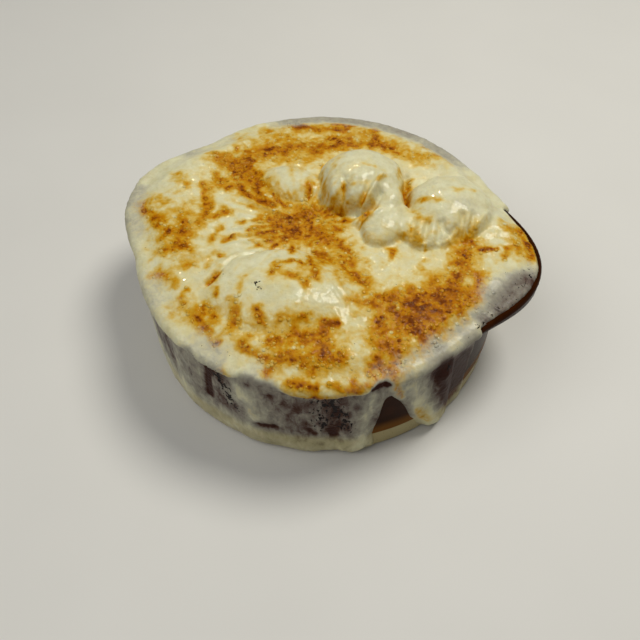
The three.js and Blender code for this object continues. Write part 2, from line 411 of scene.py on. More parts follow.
class Shader:
    """Short ways to add and join the nodes of one material."""

    def __init__(self, name: str) -> None:
        """Makes a material with an empty node tree and its main shader."""
        self.material = bpy.data.materials.new(name)
        self.material.use_nodes = True
        self.tree = self.material.node_tree
        self.tree.nodes.clear()
        self.surface = self.tree.nodes.new("ShaderNodeBsdfPrincipled")
        output = self.tree.nodes.new("ShaderNodeOutputMaterial")
        self.join(self.surface.outputs["BSDF"], output.inputs["Surface"])
        self.place = self.node("TexCoord", "Object", {})

    def join(self, source: Socket, target: Socket) -> None:
        """Links one socket to another."""
        self.tree.links.new(source, target)

    def feed(self, target: Socket, value: Socket | float | tuple[float, ...]) -> None:
        """Gives an input a socket's output or a constant."""
        if isinstance(value, bpy.types.NodeSocket):
            self.join(value, target)
        else:
            target.default_value = value

    def constant(self, **values: float | tuple[float, ...]) -> None:
        """Sets the main shader's own sockets; an underscore stands for a space in a socket's name."""
        for name, value in values.items():
            self.surface.inputs[name.replace("_", " ")].default_value = value

    def node(self, kind: str, output: int | str, inputs: dict, **settings: str) -> Socket:
        """Adds one node.

        Args:
            kind: the node's type, without the start that all share.
            output: the name or number of the output that is wanted.
            inputs: a socket's output or a constant for inputs, by name or number.
            settings: the node's own choices.

        Returns:
            The wanted output.
        """
        node = self.tree.nodes.new("ShaderNode" + kind)
        for name, value in settings.items():
            setattr(node, name, value)
        for name, value in inputs.items():
            self.feed(node.inputs[name], value)
        return node.outputs[output]

    def math(self, operation: str, first: Socket, second: Socket | float) -> Socket:
        """Adds a node that works a number out of two."""
        return self.node("Math", 0, {0: first, 1: second}, operation=operation)

    def plus(self, first: Socket, second: Socket | float) -> Socket:
        """Adds two numbers."""
        return self.math("ADD", first, second)

    def minus(self, first: Socket, second: Socket | float) -> Socket:
        """Takes the second number from the first."""
        return self.math("SUBTRACT", first, second)

    def times(self, first: Socket, second: Socket | float) -> Socket:
        """Multiplies two numbers."""
        return self.math("MULTIPLY", first, second)

    def noise(self, grain: Grain) -> Socket:
        """Adds noise on object coordinates, with numbers from 0 to 1."""
        drawn = self.node("Mapping", 0, {"Vector": self.place, "Scale": (1.0, 1.0, 1.0 / grain.tall)})
        inputs = {"Vector": drawn, "Scale": 1.0 / (grain.size * MM)}
        inputs |= {"Detail": grain.detail, "Roughness": grain.rough, "Distortion": grain.warp}
        return self.node("TexNoise", "Fac", inputs)

    def spots(self, grain: Grain, span: Point) -> Socket:
        """Adds noise that is 0 up to a span's start and 1 from its end."""
        return self.span(self.noise(grain), *span)

    def swing(self, grain: Grain, strength: Socket | float) -> Socket:
        """Adds noise that swings round zero, by half a strength to each side."""
        return self.times(self.minus(self.noise(grain), 0.5), strength)

    def cells(self, size: float) -> Socket:
        """Gives the distance to the nearest of many scattered points, in shares of the size, for bubbles."""
        return self.node("TexVoronoi", "Distance", {"Vector": self.place, "Scale": 1.0 / (size * MM)})

    def height(self) -> Socket:
        """Gives the place's height in metres."""
        return self.node("SeparateXYZ", "Z", {0: self.place})

    def attribute(self, name: str) -> Socket:
        """Reads a number that the mesh keeps for each vertex."""
        return self.node("Attribute", "Fac", {}, attribute_name=name)

    def span(self, value: Socket, low: float, high: float) -> Socket:
        """Maps low to 0 and high to 1, smoothly and without going past either."""
        inputs = {"Value": value, "From Min": low, "From Max": high}
        return self.node("MapRange", "Result", inputs, interpolation_type="SMOOTHSTEP")

    def ramp(self, value: Socket, stops: tuple[tuple[float, str], ...]) -> Socket:
        """Adds a ramp of colours.

        Args:
            value: the socket that picks the colour, from 0 to 1.
            stops: places from 0 to 1, each with its screen colour.

        Returns:
            The colour's socket.
        """
        node = self.tree.nodes.new("ShaderNodeValToRGB")
        elements = node.color_ramp.elements
        elements[0].position, elements[0].color = stops[0][0], linear(stops[0][1])
        elements[1].position, elements[1].color = stops[-1][0], linear(stops[-1][1])
        for position, code in stops[1:-1]:
            elements.new(position).color = linear(code)
        self.join(value, node.inputs["Fac"])
        return node.outputs["Color"]

    def mix(self, share: Socket, first: Socket | str, second: Socket | str) -> Socket:
        """Mixes two colours.

        Args:
            share: 0 for the first colour and 1 for the second.
            first: a socket or a screen colour.
            second: a socket or a screen colour.

        Returns:
            The mixed colour's socket.
        """
        colours = [linear(colour) if isinstance(colour, str) else colour for colour in (first, second)]
        return self.node("Mix", 2, {0: share, 6: colours[0], 7: colours[1]}, data_type="RGBA")

    def bump(self, height: Socket, depth: float, strength: float = 1.0) -> None:
        """Gives the surface fine relief.

        Args:
            height: a socket with heights from 0 to 1.
            depth: the relief's depth in millimetres.
            strength: the share of the relief that is kept.
        """
        normal = self.node("Bump", 0, {"Distance": depth * MM, "Strength": strength, "Height": height})
        self.join(normal, self.surface.inputs["Normal"])


# ---- Finishes ----


@dataclass(frozen=True)
class StonewareGlaze:
    """Dark brown gloss glaze, painted lighter brown towards its lower edge as a reflection of the floor
    below, over an ivory foot band.
    """

    dark: str = "#2c1202"
    warm: str = "#3a1a06"
    # Painted reflection: the lighter brown of the glaze near its lower edge, standing in for the floor seen
    # in it.
    reflected_brown: str = "#744a1a"
    ivory: str = "#b5a87c"
    ivory_speck: str = "#8f7c52"
    clay: str = "#a8926c"
    roughness: float = 0.24
    shine: float = 0.015
    band_height: float = 9.6
    band_blur: float = 0.25
    band_waver: float = 0.8
    waver: Grain = Grain(14.0, 2.0)
    cloud: Grain = Grain(9.0, 4.0)
    cloud_span: Point = (0.42, 0.75)
    # Where the painted reflection starts and where it is full, in millimetres above the band's edge.
    reflection_from: float = 7.0
    reflection_full: float = 1.0
    specks: Grain = Grain(0.9, 1.0)
    speck_span: Point = (0.66, 0.74)
    speck_share: float = 0.5
    bare_height: float = 0.5
    bare_blur: float = 0.3
    peel: Grain = Grain(2.4, 3.0)
    peel_depth: float = 0.12
    peel_strength: float = 0.35

    def material(self) -> bpy.types.Material:
        """Builds the glaze's material."""
        shader = Shader("stoneware_glaze")
        shader.constant(Roughness=self.roughness, Specular_IOR_Level=self.shine)
        dark = shader.mix(shader.spots(self.cloud, self.cloud_span), self.dark, self.warm)
        height = shader.plus(shader.height(), shader.times(shader.noise(self.waver), self.band_waver * MM))
        edge = (self.band_height + self.band_waver / 2) * MM
        blur = self.band_blur * MM
        # Painted reflection: the dark glaze turns lighter brown towards the band.
        reflection_share = shader.span(height, edge + self.reflection_from * MM, edge + self.reflection_full * MM)
        dark = shader.mix(reflection_share, dark, self.reflected_brown)
        specks = shader.times(shader.spots(self.specks, self.speck_span), self.speck_share)
        pale = shader.mix(specks, self.ivory, self.ivory_speck)
        glaze = shader.mix(shader.span(height, edge - blur, edge + blur), pale, dark)
        bare_top = self.bare_height + self.bare_blur
        bare = shader.span(shader.height(), self.bare_height * MM, bare_top * MM)
        shader.join(shader.mix(bare, self.clay, glaze), shader.surface.inputs["Base Color"])
        shader.bump(shader.noise(self.peel), self.peel_depth, self.peel_strength)
        return shader.material


@dataclass(frozen=True)
class GrilledCheese:
    """Melted cheese: cream, amber where the grill caught it, brown in the middle of the patches.

    Where the cheese is only a film, the crock's dark glaze or ivory foot band shows through it.
    """

    cream: str = "#d9d5b0"
    cream_shade: str = "#c9c39a"
    butter: str = "#d5c07c"
    toast: tuple[tuple[float, str], ...] = (
        (0.0, "#d9cf9c"),
        (0.16, "#d4c283"),
        (0.32, "#ccab55"),
        (0.46, "#c39423"),
        (0.6, "#bb7e06"),
        (0.74, "#a86500"),
        (0.87, "#8a4a00"),
        (1.0, "#6c3200"),
    )
    film: tuple[tuple[float, str], ...] = (
        (0.0, "#36150a"),
        (0.12, "#462a1c"),
        (0.24, "#605048"),
        (0.4, "#898275"),
        (0.7, "#b7b39c"),
        (1.0, "#cfc9a8"),
    )
    # Film over the ivory foot band: its own colour, painted lighter for the light that bounces up off the
    # floor.
    foot_film_and_bounce: tuple[tuple[float, str], ...] = (
        (0.0, "#5f3a22"),
        (0.14, "#85785a"),
        (0.4, "#b3aa82"),
        (0.75, "#c9c098"),
        (1.0, "#d4cda8"),
    )
    pit: str = "#160c0c"
    roughness: float = 0.4
    shine: float = 0.04
    see_in: float = 0.16
    see_in_colours: Triple = (1.0, 0.7, 0.35)
    see_in_depth: float = 1.2
    # The coat: how strong it is where the cheese is wet, dry or raised in a bubble.
    coat_roughness: float = 0.07
    wet: float = 0.32
    dry: float = 0.05
    bubble: float = 0.3
    pale_span: Point = (0.5, 0.15)
    thick_span: Point = (0.45, 0.85)
    # Browning: blots and fine grain, weaker away from the patches, and dark mottle in their middle.
    blots: Grain = Grain(3.3, 2.5, 0.5, 0.3)
    blot_strength: float = 1.05
    fine: Grain = Grain(1.2, 2.0, 0.5)
    fine_strength: float = 0.35
    near_span: Point = (0.05, 0.35)
    away_share: float = 0.25
    middle_span: Point = (0.5, 0.82)
    mottle: Grain = Grain(2.6, 2.0, 0.5)
    mottle_span: Point = (0.48, 0.7)
    specks: Grain = Grain(1.7, 1.0, 0.5)
    speck_span: Point = (0.6, 0.72)
    speck_strength: float = 0.9
    darkening: float = 0.27
    # Colour: clouded cream, butter round the patches, and the browning's place on the ramp of toast.
    cloud: Grain = Grain(4.0, 4.0, 0.6)
    cloud_span: Point = (0.35, 0.72)
    butter_edge: Grain = Grain(8.0)
    butter_edge_strength: float = 0.5
    butter_span: Point = (0.2, 0.6)
    butter_share: float = 0.5
    toast_start: float = 0.04
    toast_gain: float = 0.88
    toast_span: Point = (0.0, 0.32)
    # Film: its clouds, strongest on the wall, and the cover at which the cheese hides all.
    foot_height: float = 11.5
    foot_blur: float = 2.5
    rim_height: float = 41.0
    rim_blur: float = 3.0
    film_cloud: Grain = Grain(2.4, 4.0, 0.62, 0.4, 2.0)
    cloud_on_top: float = 0.45
    cloud_on_wall: float = 0.85
    cover_span: Point = (0.58, 0.96)
    pit_grain: Grain = Grain(1.1, 2.0, 0.6, 0.2, 2.2)
    pit_gain: float = 0.27
    pit_span: Point = (0.76, 0.8)
    # Fine relief.
    bubble_size: float = 1.3
    bubble_span: Point = (0.3, 0.9)
    waves: Grain = Grain(1.2, 1.0, 0.5)
    wave_strength: float = 1.2
    soft: Grain = Grain(3.0, 2.0)
    relief_depth: float = 0.3
    relief_strength: float = 0.6

    def material(self) -> bpy.types.Material:
        """Builds the cheese's material from the numbers that the mesh keeps."""
        shader = Shader("melted_cheese")
        shader.constant(
            Roughness=self.roughness,
            Specular_IOR_Level=self.shine,
            Subsurface_Weight=self.see_in,
            Subsurface_Radius=self.see_in_colours,
            Subsurface_Scale=self.see_in_depth * MM,
            Coat_Roughness=self.coat_roughness,
        )
        browned = self.browned(shader)
        pits = self.pits(shader)
        colour = self.under_film(shader, self.toasted(shader, browned), pits)
        shader.join(colour, shader.surface.inputs["Base Color"])
        shader.join(self.wetness(shader, browned), shader.surface.inputs["Coat Weight"])
        self.relief(shader, browned, pits)
        return shader.material

    def wetness(self, shader: Shader, browned: Socket) -> Socket:
        """Gives how wet the cheese shines: on bubbles and where it is thick and pale, less where browned."""
        pale = shader.span(browned, *self.pale_span)
        thick = shader.span(shader.attribute("cover"), *self.thick_span)
        extra = shader.times(shader.times(pale, thick), self.wet - self.dry)
        bubbles = shader.times(shader.attribute("bubble"), self.bubble - self.dry)
        return shader.plus(shader.math("MAXIMUM", extra, bubbles), self.dry)

    def browned(self, shader: Shader) -> Socket:
        """Breaks the mesh's broad browning up into blots and dark specks."""
        broad = shader.attribute("browning")
        blots = shader.swing(self.blots, self.blot_strength)
        fine = shader.swing(self.fine, self.fine_strength)
        near = shader.times(shader.span(broad, *self.near_span), 1.0 - self.away_share)
        rough = shader.times(shader.plus(blots, fine), shader.plus(near, self.away_share))
        mottle = shader.spots(self.mottle, self.mottle_span)
        specks = shader.times(shader.spots(self.specks, self.speck_span), self.speck_strength)
        middle = shader.span(broad, *self.middle_span)
        darker = shader.times(shader.times(shader.plus(mottle, specks), middle), self.darkening)
        return shader.plus(shader.plus(broad, rough), darker)

    def toasted(self, shader: Shader, browned: Socket) -> Socket:
        """Colours the cheese by how browned it is."""
        cream = shader.mix(shader.spots(self.cloud, self.cloud_span), self.cream, self.cream_shade)
        edge = shader.times(shader.noise(self.butter_edge), self.butter_edge_strength)
        near = shader.span(shader.plus(shader.attribute("browning"), edge), *self.butter_span)
        cream = shader.mix(shader.times(near, self.butter_share), cream, self.butter)
        step = shader.times(shader.minus(browned, self.toast_start), self.toast_gain)
        toast = shader.ramp(step, self.toast)
        return shader.mix(shader.span(browned, *self.toast_span), cream, toast)

    def pits(self, shader: Shader) -> Socket:
        """Scatters small holes where the mesh says that the film is pitted."""
        limit = shader.times(shader.attribute("pitted"), self.pit_gain)
        return shader.span(shader.plus(shader.noise(self.pit_grain), limit), *self.pit_span)

    def under_film(self, shader: Shader, cheese: Socket, pits: Socket) -> Socket:
        """Lets what is behind the cheese show where it is thin."""
        wall_top = (self.rim_height - self.rim_blur) * MM
        on_wall = shader.span(shader.height(), self.rim_height * MM, wall_top)
        amount = shader.plus(shader.times(on_wall, self.cloud_on_wall - self.cloud_on_top), self.cloud_on_top)
        cover = shader.plus(shader.attribute("cover"), shader.swing(self.film_cloud, amount))
        foot_top = (self.foot_height + self.foot_blur) * MM
        low = shader.span(shader.height(), foot_top, (self.foot_height - self.foot_blur) * MM)
        # Low down, the film over the foot band, painted lighter as bounced light.
        film = shader.mix(low, shader.ramp(cover, self.film), shader.ramp(cover, self.foot_film_and_bounce))
        colour = shader.mix(shader.span(cover, *self.cover_span), film, cheese)
        return shader.mix(pits, colour, self.pit)

    def relief(self, shader: Shader, browned: Socket, pits: Socket) -> None:
        """Gives the cheese fine bubbles where it is browned, pits in the film, and soft unevenness."""
        bubbles = shader.times(shader.cells(self.bubble_size), shader.span(browned, *self.bubble_span))
        waves = shader.times(shader.noise(self.waves), self.wave_strength)
        height = shader.plus(bubbles, shader.plus(waves, shader.noise(self.soft)))
        shader.bump(shader.minus(height, pits), self.relief_depth, self.relief_strength)


# ---- The crock ----


@dataclass(frozen=True)
class Handle:
    """A tab handle: its direction, its reach out of the rim, half its spread and how pointed it is."""

    angle: float
    reach: float
    half_angle: float
    sharpness: float

    def reach_at(self, degrees: Values) -> Values:
        """Gives how far the handle stands out of the rim at some angles."""
        away = np.clip(np.abs(angle_between(degrees, self.angle)) / self.half_angle, 0.0, 1.0)
        return self.reach * np.cos(away * math.pi / 2).clip(0.0) ** self.sharpness


@dataclass
class Crock:
    """The stoneware crock with a thickened lip and two tab handles."""

    height: float
    rim_radius: float
    handles: tuple[Handle, ...]
    wall_radius: float = 62.8
    foot_round: float = 1.5
    wall: float = 4.4
    floor: float = 5.0
    inner_round: float = 9.0
    lip_depth: float = 3.4
    lip_round: float = 2.1
    lip_under_round: float = 1.0
    handle_depth: float = 6.2
    band_height: float = 9.6
    band_ridge: float = 0.3
    # The ridge over the band: each ring's rise above the band, and its share of the ridge.
    ridge: tuple[Point, ...] = ((0.0, 0.7), (0.4, 1.0), (1.0, 0.7), (2.2, 0.0))
    low_rings: tuple[float, ...] = (5.0, 9.1)
    wall_rings: tuple[float, ...] = (18.0, 26.0, 33.0)
    under_gap: float = 0.3
    sides: int = 192
    # How far past the lip's rings the lip's points are looked for.
    slack: float = 0.1

    @classmethod
    def from_frame(cls) -> "Crock":
        """Takes the crock's height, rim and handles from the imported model."""
        low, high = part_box("crock")
        rim = high.y / MM
        right, left = 1.0, 174.0
        right_reach = high.x / MM / math.cos(math.radians(right)) - rim
        left_reach = low.x / MM / math.cos(math.radians(left)) - rim
        broad = Handle(right, right_reach, half_angle=37.0, sharpness=2.3)
        narrow = Handle(left, left_reach, half_angle=29.0, sharpness=1.3)
        return cls(high.z / MM, rim, (broad, narrow))

    def reach(self, degrees: Values) -> Values:
        """Gives how far the handles stand out of the rim at some angles."""
        return sum(handle.reach_at(degrees) for handle in self.handles)

    def lip_bottom(self, reach: Values) -> Values:
        """Gives the height of the lip's underside, which is lowest at a handle's tip."""
        longest = max(handle.reach for handle in self.handles)
        return self.height - lerp(self.lip_depth, self.handle_depth, reach / longest)

    def section(self) -> list[Point]:
        """Lists the rings, as radius and height, from the foot up the outside and down the inside."""
        wall, band, under = self.wall_radius, self.band_height, self.height - self.lip_depth
        foot, low_round, lip_round = self.foot_round, self.lip_under_round, self.lip_round
        rings = [(wall - foot, 0.0)] + arc(wall - foot, foot, foot, (-60, -30, 0))
        rings += [(wall, height) for height in self.low_rings]
        rings += [(wall + share * self.band_ridge, band + rise) for rise, share in self.ridge]
        rings += [(wall, height) for height in (*self.wall_rings, under - self.under_gap)]
        rings += arc(self.rim_radius - low_round, under + low_round, low_round, (-60, -20, 20))
        rings += arc(self.rim_radius - lip_round, self.height - lip_round, lip_round, (0, 22, 45, 67, 90))
        return rings + self.hollow()

    def hollow(self) -> list[Point]:
        """Lists the rings of the inside, from the lip's top down to the floor."""
        mouth = self.rim_radius - self.wall + self.lip_round
        axis = self.wall_radius - self.wall - self.inner_round
        rings = arc(mouth, self.height - self.lip_round, self.lip_round, (90, 120, 150, 180))
        return rings + arc(axis, self.floor + self.inner_round, self.inner_round, (0, -30, -60, -90))

    def build(self) -> Piece:
        """Models the crock and dresses it."""
        piece = self.turn_bowl()
        self.pull_handles(piece)
        piece.data.materials.append(StonewareGlaze(band_height=self.band_height).material())
        smooth_shading(piece)
        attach(piece, "root")
        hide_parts("crock")
        return piece

    def turn_bowl(self) -> Piece:
        """Raises the bowl from its foot's disc, ring by ring."""
        rings = self.section()
        radius, height = rings[0]
        deselect_all()
        bpy.ops.mesh.primitive_circle_add(
            vertices=self.sides, radius=radius * MM, fill_type="NGON", location=(0.0, 0.0, 0.0)
        )
        piece = bpy.context.object
        piece.name = "stoneware_crock"
        bpy.ops.object.mode_set(mode="EDIT")
        bpy.ops.mesh.select_all(action="SELECT")
        for next_radius, next_height in rings[1:]:
            rise = (0.0, 0.0, (next_height - height) * MM)
            bpy.ops.mesh.extrude_region_move(TRANSFORM_OT_translate={"value": rise})
            share = next_radius / radius
            bpy.ops.transform.resize(value=(share, share, 1.0), center_override=(0.0, 0.0, 0.0))
            radius, height = next_radius, next_height
        bpy.ops.mesh.select_all(action="SELECT")
        bpy.ops.mesh.remove_doubles(threshold=0.00001)
        bpy.ops.mesh.normals_make_consistent(inside=False)
        bpy.ops.object.mode_set(mode="OBJECT")
        return piece

    def pull_handles(self, piece: Piece) -> None:
        """Pulls the two handles out of the lip and deepens their undersides."""
        points = points_of(piece)
        radius = np.hypot(points[:, 0], points[:, 1])
        degrees = np.degrees(np.arctan2(points[:, 1], points[:, 0]))
        reach = self.reach(degrees)
        low = self.height - self.lip_depth
        on_lip = (points[:, 2] > low - self.slack) & (radius > self.rim_radius - self.lip_round - self.slack)
        points[:, :2] *= np.where(on_lip, (radius + reach) / radius, 1.0)[:, None]
        under = points[:, 2] < self.height - self.lip_round - self.slack
        under &= points[:, 2] > low - self.under_gap - self.slack
        outside = radius > self.wall_radius - self.wall / 2
        points[:, 2] += np.where(under & outside, self.lip_bottom(reach) - low, 0.0)
        move_points(piece, points)


# ---- The way down the crock's outside ----


class WallPath:
    """The crock's outside from the lip's top down to the table, unrolled at each angle."""

    ANGLES = 720
    STEPS = 240
    FILLET = 3.0
    NORMAL_BLUR = 1.0

    def __init__(self, crock: Crock) -> None:
        """Lays out the path at evenly spaced angles."""
        self.crock = crock
        degrees = np.arange(self.ANGLES) * 360.0 / self.ANGLES - 180.0
        columns = self.corners(crock.reach(degrees))
        self.length = np.empty(self.ANGLES)
        self.table = np.empty((self.ANGLES, self.STEPS, 4))
        for row in range(self.ANGLES):
            self.lay_out(row, columns[:, row, :])

    def corners(self, reach: Values) -> Values:
        """Lists the path's corner points for each angle.

        Args:
            reach: how far the handle stands out at each angle.

        Returns:
            An array of radius and height by corner and angle.
        """
        crock = self.crock
        rim = crock.rim_radius + reach
        low = crock.lip_bottom(reach)
        wall = np.full_like(low, crock.wall_radius)
        top = np.full_like(low, crock.height - crock.lip_round)
        points = arc(rim - crock.lip_round, top, crock.lip_round, np.linspace(90.0, 0.0, 9))
        edge, curl = rim - crock.lip_under_round, crock.lip_under_round
        for out, height in arc(edge, low + curl, curl, np.linspace(0.0, -90.0, 5)):
            points.append((np.maximum(out, wall), height))
        fillet = np.clip(edge - wall, 0.0, self.FILLET)
        points += arc(wall + fillet, low - fillet, fillet, np.linspace(90.0, 180.0, 6))
        points.append((wall, np.zeros_like(low)))
        return np.array(points).transpose(0, 2, 1)

    def lay_out(self, row: int, corners: Values) -> None:
        """Spaces one angle's points evenly and works out the way they face."""
        steps = np.hypot(*np.diff(corners, axis=0).T)
        along = np.concatenate([[0.0], np.cumsum(steps)])
        self.length[row] = along[-1]
        even = np.linspace(0.0, along[-1], self.STEPS)
        radius = np.interp(even, along, corners[:, 0])
        height = np.interp(even, along, corners[:, 1])
        out = np.stack([-np.gradient(height), np.gradient(radius)])
        spread = self.NORMAL_BLUR * self.STEPS / along[-1]
        reach = int(3 * spread)
        kernel = np.exp(-((np.arange(-reach, reach + 1) / spread) ** 2) / 2)
        padded = np.pad(out, ((0, 0), (reach, reach)), mode="edge")
        out = np.stack([np.convolve(line, kernel, mode="valid") for line in padded])
        out /= np.linalg.norm(out, axis=0)
        self.table[row] = np.stack([radius, height, out[0], out[1]], axis=1)

    def at(self, degrees: Values, share: Values) -> tuple[Values, ...]:
        """Looks the path up.

        Args:
            degrees: angles round the crock.
            share: how far down the path, from 0 at the lip's top to 1 at the table.

        Returns:
            Radius, height, and the outward and upward parts of the direction the crock faces there.
        """
        column = (degrees + 180.0) / 360.0 * self.ANGLES
        first = np.floor(column).astype(int)
        turn = (column - first)[:, None]
        line = np.clip(share, 0.0, 1.0) * (self.STEPS - 1)
        step = np.minimum(np.floor(line).astype(int), self.STEPS - 2)
        down = (line - step)[:, None]
        here = lerp(self.table[first % self.ANGLES, step], self.table[first % self.ANGLES, step + 1], down)
        following = (first + 1) % self.ANGLES
        there = lerp(self.table[following, step], self.table[following, step + 1], down)
        return tuple(lerp(here, there, turn).T)

    def length_at(self, degrees: Values) -> Values:
        """Gives the path's whole length at some angles."""
        ring = np.append(self.length, self.length[0])
        return np.interp((degrees + 180.0) / 360.0 * self.ANGLES, np.arange(self.ANGLES + 1), ring)


# ---- The cheese ----


@dataclass(frozen=True)
class Lump:
    """A lump that stands out of the top: a stretched ball with its middle below the level.

    Its flatness is 1 for a true ball, and less than 1 for a lump with a flat top and steep sides.
    """

    x: float
    y: float
    wide: float
    deep: float
    rise: float
    turn: float
    sunk: float
    flatness: float
    fall: float = 40.0

    def at(self, x: Values, y: Values) -> Values:
        """Gives the lump's height above the level, which is far below it outside the lump."""
        angle = math.radians(self.turn)
        right = x - self.x
        back = y - self.y
        share = (self.sunk / (self.rise + self.sunk)) ** (1.0 / self.flatness)
        spread = 1.0 / math.sqrt(1.0 - share * share)
        across = (right * math.cos(angle) + back * math.sin(angle)) / (self.wide * spread)
        along = (back * math.cos(angle) - right * math.sin(angle)) / (self.deep * spread)
        left = 1.0 - across * across - along * along
        ball = (self.rise + self.sunk) * np.clip(left, 0.0, 1.0) ** (self.flatness / 2) - self.sunk
        return ball + self.fall * np.minimum(left, 0.0)


@dataclass(frozen=True)
class Tongue:
    """Cheese that ran down the wall: angle, height of its end, half width and how far it stands out."""

    angle: float
    bottom: float
    wide: float
    proud: float


LUMPS = (
    Lump(8.5, 22.5, 15.5, 15, 10.3, 0, 1.5, 0.8),
    Lump(41, 17.5, 15, 15.5, 8, -10, 2.5, 0.8),
    Lump(20, 7, 7.5, 12, 5, -8, 2, 0.6),
    Lump(19.5, 15.5, 5.5, 9, 6.8, 0, 2, 0.8),
    Lump(34, 6.5, 10.5, 8.5, 4.6, 0, 2, 0.6),
    Lump(-8, -30, 25, 17, 5.6, 4, 4, 1),
    Lump(-16, 18.5, 11, 8, 3.4, -8, 3, 0.8),
)

SWELLS = (
    Swell(-6, 0, 13, 9, -2.2),
    Swell(-2, 47, 34, 7, -0.9),
    Swell(30, -5, 9, 4, -1.2),
    Swell(38, -26, 18, 14, 1.2),
    Swell(-46, -6, 12, 20, 1.2),
    Swell(6, -51, 22, 6, 0.8),
    Swell(12, -31, 12, 11, 1.6),
)

TONGUES = (
    Tongue(-68.5, 0.6, 5.5, 1.1),
    Tongue(-40.5, 0.6, 5.5, 2.1),
    Tongue(-98, 0.8, 8, 0.55),
    Tongue(-121, 0.8, 9, 0.65),
    Tongue(41, 11, 5, 1),
    Tongue(67, 6, 6.5, 1.2),
    Tongue(103, 12, 4.5, 0.8),
    Tongue(128, 5, 7, 1.1),
    Tongue(158, 10, 5, 0.9),
)

RIM_SWELLS = (RimSwell(34, 26, 3), RimSwell(162, 20, 1.8))

# Creases (negative) and raised folds and strands (positive) of the top.
FOLDS = (
    # The crease behind the front lump, and the slot at its left end.
    Stroke(1, -1.3, (-31, -34), (-29, -29), (-24.5, -21.5), (-18, -16.5)),
    Stroke(1, -1.3, (-18, -16.5), (-10, -12.5), (4, -12.5)),
    Stroke(1.3, -0.9, (-28.5, -29), (-30, -33)),
    # The gap between the two back lumps.
    Stroke(1.3, -1.6, (23.5, 31), (24.5, 24), (25.5, 15)),
    Stroke(1, -0.6, (21.5, 30), (21.5, 23)),
    # Four fingers on the front of the tallest lump, with creases between them.
    Stroke(1, -0.8, (-4.8, 18), (-4, 14.5)),
    Stroke(1, -1.8, (-4, 14), (-3.5, 11.5)),
    Stroke(1.4, 1, (-0.5, 16), (-0.3, 10.5)),
    Stroke(0.9, -0.8, (3.3, 16.5), (4, 14)),
    Stroke(0.9, -1.9, (4.3, 12.8), (4.8, 8)),
    Stroke(1.6, 1.1, (7.4, 16), (7.8, 9)),
    Stroke(0.9, -0.8, (12.3, 17), (11.8, 14)),
    Stroke(0.9, -1.9, (11.6, 12.8), (10.5, 8)),
    Stroke(1, 1.4, (16, 20), (13.8, 13), (10.5, 4)),
    Stroke(1.1, -2, (16.8, 14), (15, 8.5), (12, 3)),
    Stroke(0.8, 1, (17.5, 7.5), (15.5, 4.8), (12.8, 4.6)),
    # Upright folds on the front of the right-hand lump and of the shelf beside it.
    Stroke(1, -1.3, (30, 5.5), (30.3, 0)),
    Stroke(0.9, -1.3, (34.3, 5), (34.5, -0.6)),
    Stroke(0.9, -1.3, (38, 6), (38.6, 0.4)),
    Stroke(0.7, -1.2, (39.2, 6.8), (40, 4), (42, 3.3), (43.6, 5.6)),
    Stroke(1, -1.6, (45.4, 10), (45.7, 3.8)),
    Stroke(1, -1.5, (49, 12), (48.4, 6)),
    Stroke(0.8, 1, (50.6, 8), (52.5, 12), (54, 15.5)),
    Stroke(0.7, 1, (41, -0.2), (44, 2.4), (47.6, 3.8)),
    # Strands that run out from the hollow to the left.
    Stroke(1, 0.9, (-31, 7.2), (-26, 5.5), (-18, 3.6), (-12, 2.6), (-8, 6)),
    Stroke(0.7, 0.6, (-28, 12.5), (-22, 8.2), (-17, 5.8)),
    Stroke(0.8, 0.55, (-29, -4.8), (-20, -2.4)),
    Stroke(0.8, 0.55, (-30, -8), (-18, -3.8)),
    Stroke(0.8, 0.55, (-29, -11.5), (-18, -7)),
    Stroke(0.8, 0.5, (-27, -14.4), (-16, -9.7)),
    Stroke(1.8, 0.7, (-44, -25), (-37, -20.5), (-28, -16)),
    Stroke(1, 0.4, (-40, -15), (-32, -13)),
    Stroke(1.2, 0.4, (-39, 3), (-32, 0)),
    Stroke(0.7, 0.5, (-2, -7.5), (3, -3)),
    # Flow lines to the right of the front lump, and on the far right rim.
    Stroke(0.9, 0.35, (5, -24), (14, -33)),
    Stroke(0.9, 0.35, (9, -24), (20, -36)),
    Stroke(0.9, 0.3, (12, -36), (18, -46)),
    Stroke(0.8, 0.5, (48, 34), (55, 40)),
    Stroke(0.8, 0.5, (51, 28), (60, 33)),
    Stroke(0.8, 0.5, (54, 22), (63, 26)),
    Stroke(0.8, 0.5, (41, 40), (47, 46)),
)

